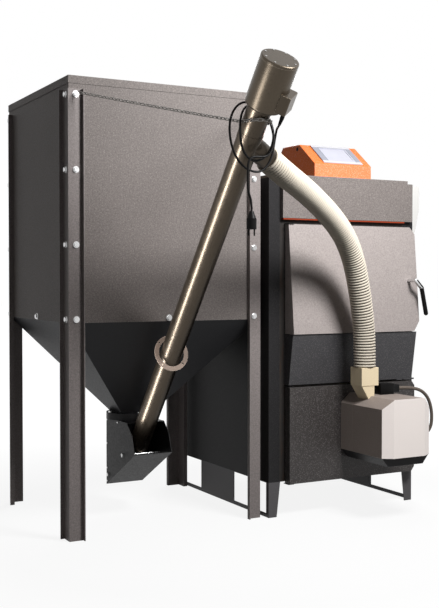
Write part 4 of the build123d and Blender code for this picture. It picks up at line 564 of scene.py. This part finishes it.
def evenly(points, step=None, count=None):
    """Points at an even step along a run, or this many steps, and the step's length."""
    lengths = [0.0]
    for a, b in zip(points, points[1:]):
        lengths.append(lengths[-1] + (b - a).length)
    total = lengths[-1]
    count = count or max(2, round(total / step))
    places, index = [], 0
    for number in range(count + 1):
        goal = total * number / count
        while index < len(points) - 2 and lengths[index + 1] < goal:
            index += 1
        span = lengths[index + 1] - lengths[index]
        share = (goal - lengths[index]) / span if span else 0
        places.append(points[index].lerp(points[index + 1], share))
    return places, total / count


def tube_mesh(name, points, around, radius_at, closed_ends=True):
    """Tube along points. radius_at(share of a turn, distance, ring number) gives its radius."""
    bm = bmesh.new()
    rings = []
    direction = (points[1] - points[0]).normalized()
    side = direction.orthogonal().normalized()
    travelled = 0.0
    for number, point in enumerate(points):
        ahead = points[min(number + 1, len(points) - 1)]
        behind = points[max(number - 1, 0)]
        turned = (ahead - behind).normalized()
        side = (side - turned * side.dot(turned)).normalized()
        other = turned.cross(side)
        if number:
            travelled += (point - points[number - 1]).length
        ring = []
        for step in range(around):
            turn = 2 * math.pi * step / around
            radius = radius_at(step / around, travelled, number)
            ring.append(bm.verts.new(point + (side * math.cos(turn) + other * math.sin(turn)) * radius))
        rings.append(ring)
    for low, high in zip(rings, rings[1:]):
        for step in range(around):
            following = (step + 1) % around
            bm.faces.new((low[step], low[following], high[following], high[step]))
    if closed_ends:
        bm.faces.new(list(reversed(rings[0])))
        bm.faces.new(rings[-1])
    mesh = bpy.data.meshes.new(name)
    bm.to_mesh(mesh)
    bm.free()
    return mesh


# ---------------------------------------------------------------- cords and hose

make_camera()

CORD_ROUTE = [
    at(424.26, -656.10, 1350.97), at(424.26, -639.93, 1330.61), at(451, -584.9, 1334), at(451, -573, 1300),
    at(442, -573, 1249), at(418, -574, 1212), at(386, -574, 1198),
    at(338, -575, 1214), at(304, -576, 1258), at(291, -577, 1317),
    at(300, -572, 1365), at(325, -567, 1399), at(358, -563, 1412),
    at(399, -571, 1399), at(429, -580, 1365), at(440, -588, 1318),
    at(431, -589, 1274), at(406, -590, 1242), at(372, -590, 1230),
    at(340, -598, 1240), at(317, -606, 1268), at(308, -614, 1306),
    at(316, -600, 1354), at(337, -586, 1388), at(366, -572, 1401),
    at(399, -582, 1388), at(424, -591, 1354), at(432, -601, 1306),
    at(427, -602, 1275), at(414, -603, 1251), at(396, -603, 1243),
    at(342, -603, 1243), at(341, -601, 1184), at(343, -599, 1142), at(356, -598, 1111), at(356, -598, 1082),
]
CABLE_ROUTE = [
    at(1240, -168, 470), at(1318, -168, 470), at(1384, -166, 440), at(1414, -163, 372), at(1418, -150, 290),
    at(1358, -108, 252), at(1287, -108, 252),
]
HOSE_ROUTE = [
    at(458.20, -516.59, 1251.06), at(536.22, -486.26, 1212.89), at(632, -424, 1186), at(742, -356, 1147),
    at(854, -293, 1094), at(945, -244, 1031), at(1008, -209, 950), at(1046, -190, 850), at(1072, -176, 752),
    at(1089, -167, 665), at(1089, -167, 555),
]
CORD_RADIUS = 0.0035
# Sleeve at the cord's exit: length, radius at its two ends, and the rings cut into it
RELIEF_LENGTH = 0.024
RELIEF_ENDS = (0.0062, 0.0042)
RELIEF_PITCH = 0.003
RELIEF_CUT = 0.0006
RELIEF_PLAIN = (0.003, 0.002)
# Braided cable: strands of each way round it and the length of one turn of them
CABLE_RADIUS = 0.0065
BRAID_STRANDS = 8
BRAID_LAY = 0.012
BRAID_DEPTH = 0.0004
HOSE_CREST = 0.041
HOSE_BORE = 0.0351
HOSE_RIBS = 104
HOSE_AROUND = 64
CORD_AROUND = 32
# Radii over one rib, and the faces of its groove, which take a dark brown: painted shade in the grooves
RIB_PROFILE = (0.0369, 0.0374, 0.0396, 0.0408, HOSE_CREST, HOSE_CREST, 0.0407, 0.0394, 0.0373)
SHADED_GROOVE_FACES = (0, 7, 8)


def make_power_cord():
    cord = nurbs("power_cord_line", CORD_ROUTE, CORD_RADIUS)
    dress(cord, "cord_rubber")
    place(cord, "root", "cord_rubber")
    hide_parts("power_cord", "power_cord_coil")


def make_strain_relief():
    """Tapered, ringed sleeve over the first stretch of the mains cord."""
    line = nurbs("relief_line", CORD_ROUTE)
    line.data.resolution_u = 32
    path, step = evenly(curve_points(line), 0.0006)
    bpy.data.objects.remove(line)
    path = path[:round(RELIEF_LENGTH / step)]
    length = step * (len(path) - 1)

    def taper(_, travelled, __):
        radius = RELIEF_ENDS[0] + (RELIEF_ENDS[1] - RELIEF_ENDS[0]) * travelled / length
        ringed = RELIEF_PLAIN[0] < travelled < length - RELIEF_PLAIN[1]
        return radius - (RELIEF_CUT * math.sin(math.pi * travelled / RELIEF_PITCH) ** 8 if ringed else 0)

    mesh = tube_mesh("cord_strain_relief", path, CORD_AROUND, taper)
    smooth(mesh, 50)
    relief = new_object("cord_strain_relief", mesh)
    dress(relief, "black_plastic")
    place(relief, "root", "black_plastic")


def make_burner_cable():
    line = nurbs("cable_line", CABLE_ROUTE)
    line.data.resolution_u = 48
    path, _ = evenly(curve_points(line), 0.0011)
    bpy.data.objects.remove(line)

    def braid(turn, travelled, _):
        round_it, along_it = BRAID_STRANDS * turn, travelled / BRAID_LAY
        wave = math.sin(2 * math.pi * (round_it + along_it)) * math.sin(2 * math.pi * (round_it - along_it))
        return CABLE_RADIUS - BRAID_DEPTH + BRAID_DEPTH * wave

    mesh = tube_mesh("burner_cable_braided", path, CORD_AROUND, braid)
    smooth(mesh, 80)
    cable = new_object("burner_cable_braided", mesh)
    dress(cable, "braid")
    place(cable, "lower_door", "braid")
    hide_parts("burner_cable")


def make_hose():
    line = nurbs("hose_line", HOSE_ROUTE)
    line.data.resolution_u = 48
    path, _ = evenly(curve_points(line), count=HOSE_RIBS * len(RIB_PROFILE))
    bpy.data.objects.remove(line)

    def rib(_, __, number):
        return RIB_PROFILE[number % len(RIB_PROFILE)]

    around = HOSE_AROUND
    outer = tube_mesh("outer", path, around, rib, closed_ends=False)
    inner = tube_mesh("inner", path, around, lambda *_: HOSE_BORE, closed_ends=False)
    bm = bmesh.new()
    bm.from_mesh(outer)
    outer_count = len(bm.verts)
    bm.from_mesh(inner)
    bm.verts.ensure_lookup_table()
    bm.faces.ensure_lookup_table()
    outer_faces = len(outer.polygons)
    for face in list(bm.faces)[outer_faces:]:
        face.normal_flip()
    last = outer_count - around
    for step in range(around):
        after = (step + 1) % around
        a, b = bm.verts[step], bm.verts[after]
        c, d = bm.verts[outer_count + after], bm.verts[outer_count + step]
        bm.faces.new((b, a, d, c))
        a, b = bm.verts[last + step], bm.verts[last + after]
        c, d = bm.verts[outer_count + last + after], bm.verts[outer_count + last + step]
        bm.faces.new((a, b, c, d))
    mesh = bpy.data.meshes.new("feed_hose_ribbed")
    bm.to_mesh(mesh)
    bm.free()
    for spare in (outer, inner):
        bpy.data.meshes.remove(spare)
    smooth(mesh, 60)
    hose = new_object("feed_hose_ribbed", mesh)
    dress(hose, "hose_plastic")
    # The groove faces get the dark brown: painted shade in the hose's grooves
    mesh.materials.append(MATERIALS["hose_groove_painted_shade"])
    for polygon in mesh.polygons[:outer_faces]:
        if polygon.index // around % len(RIB_PROFILE) in SHADED_GROOVE_FACES:
            polygon.material_index = 1
    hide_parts("feed_hose")
    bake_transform(hose)


make_power_cord()
make_strain_relief()
make_burner_cable()
make_hose()

# ---------------------------------------------------------------- pieces

EASED = {
    "hopper_bin": 0.0012, "hopper_lid": 0.0005, "hopper_funnel": 0.0009,
    "hopper_leg_front_left": 0.0012, "hopper_leg_front_right": 0.0012,
    "hopper_leg_rear_left": 0.0012, "hopper_leg_rear_right": 0.0012,
    "intake_trough": 0.0008, "fascia": 0.0012, "top_cover": 0.0012, "upper_door": 0.0014,
    "middle_panel": 0.0012, "lower_door": 0.0014, "boiler_base": 0.0012, "boiler_casing": 0.0008,
    "controller_case": 0.002, "controller_bezel": 0.001, "burner_housing": 0.0009, "burner_cover": 0.0009,
    "terminal_box": 0.0015, "hose_adapter": 0.0015, "burner_connector": 0.0012,
    "burner_chassis": 0.0008, "upper_door_handle": 0.001, "lower_door_handle": 0.001,
}

for name, width in EASED.items():
    rounded(name, width)

# The burner cover takes the silver paint on its front faces and the brown-grey on all its other faces, and
# the controller case's front faces take a paler, more speckled orange: painted light on its lit front
two_toned("burner_cover_eased", "burner_side_paint", lambda centre, normal: normal.y > -0.3)
two_toned("upper_door_handle_eased", "bright_steel", on_shaft("upper_door_handle"))
two_toned("lower_door_handle_eased", "bright_steel", on_shaft("lower_door_handle"))
two_toned("controller_case_eased", "orange_front_painted_light", lambda centre, normal: normal.y < -0.9)
TROUGH_SCREWS = [(294, 345), (241, 230.5), (397, 344), (397, 253.5), (397, 159.4), (397, 108.9)]
studs("trough_side_screws", "zinc", 0.0035, 0.0018, (-1, 0, 0), [at(295, y, z) for y, z in TROUGH_SCREWS])
# A flat black disc in place of the hole in the controller's side: painted shade of the hole's inside
studs("controller_side_hole", "black_plastic", 0.0072, 0.0006, (-1, 0, 0), [at(968, 107, 1381)])
for name, obj in nodes.items():
    dress(obj, PAINTS.get(name, slot_of_node[name]))

make_world()
make_floor()
make_area("key", at(1050, -1400, 2050), at(650, 0, 1050), 0.6, 0.5, 52)
make_area("behind", at(2600, 2900, 2100), at(700, 400, 800), 1.6, 1.6, 70)

# Direction from the tube's middle in which a lamp mirrors left of the tube's centre line
TUBE_MIDDLE = at(370, -160, 815)
TUBE_AXIS = Vector((0, -0.622, 0.783))
TO_STRIP = Vector((-0.8025, 0.1722, -0.5727))
STRIP_REACH = 0.45
STRIP_LENGTH = 2.0
STRIPS = [("tube_strip", 0.08, 30, ("auger_tube", "auger_ring")),
          ("motor_strip", 0.12, 9, ("gearmotor_housing", "gearmotor_cap"))]
for name, width, power, lit in STRIPS:
    middle = TUBE_MIDDLE + TO_STRIP * STRIP_REACH
    make_strip(name, middle, TO_STRIP, TUBE_AXIS, width, STRIP_LENGTH, power, lit)

bpy.context.scene.view_settings.view_transform = "Standard"
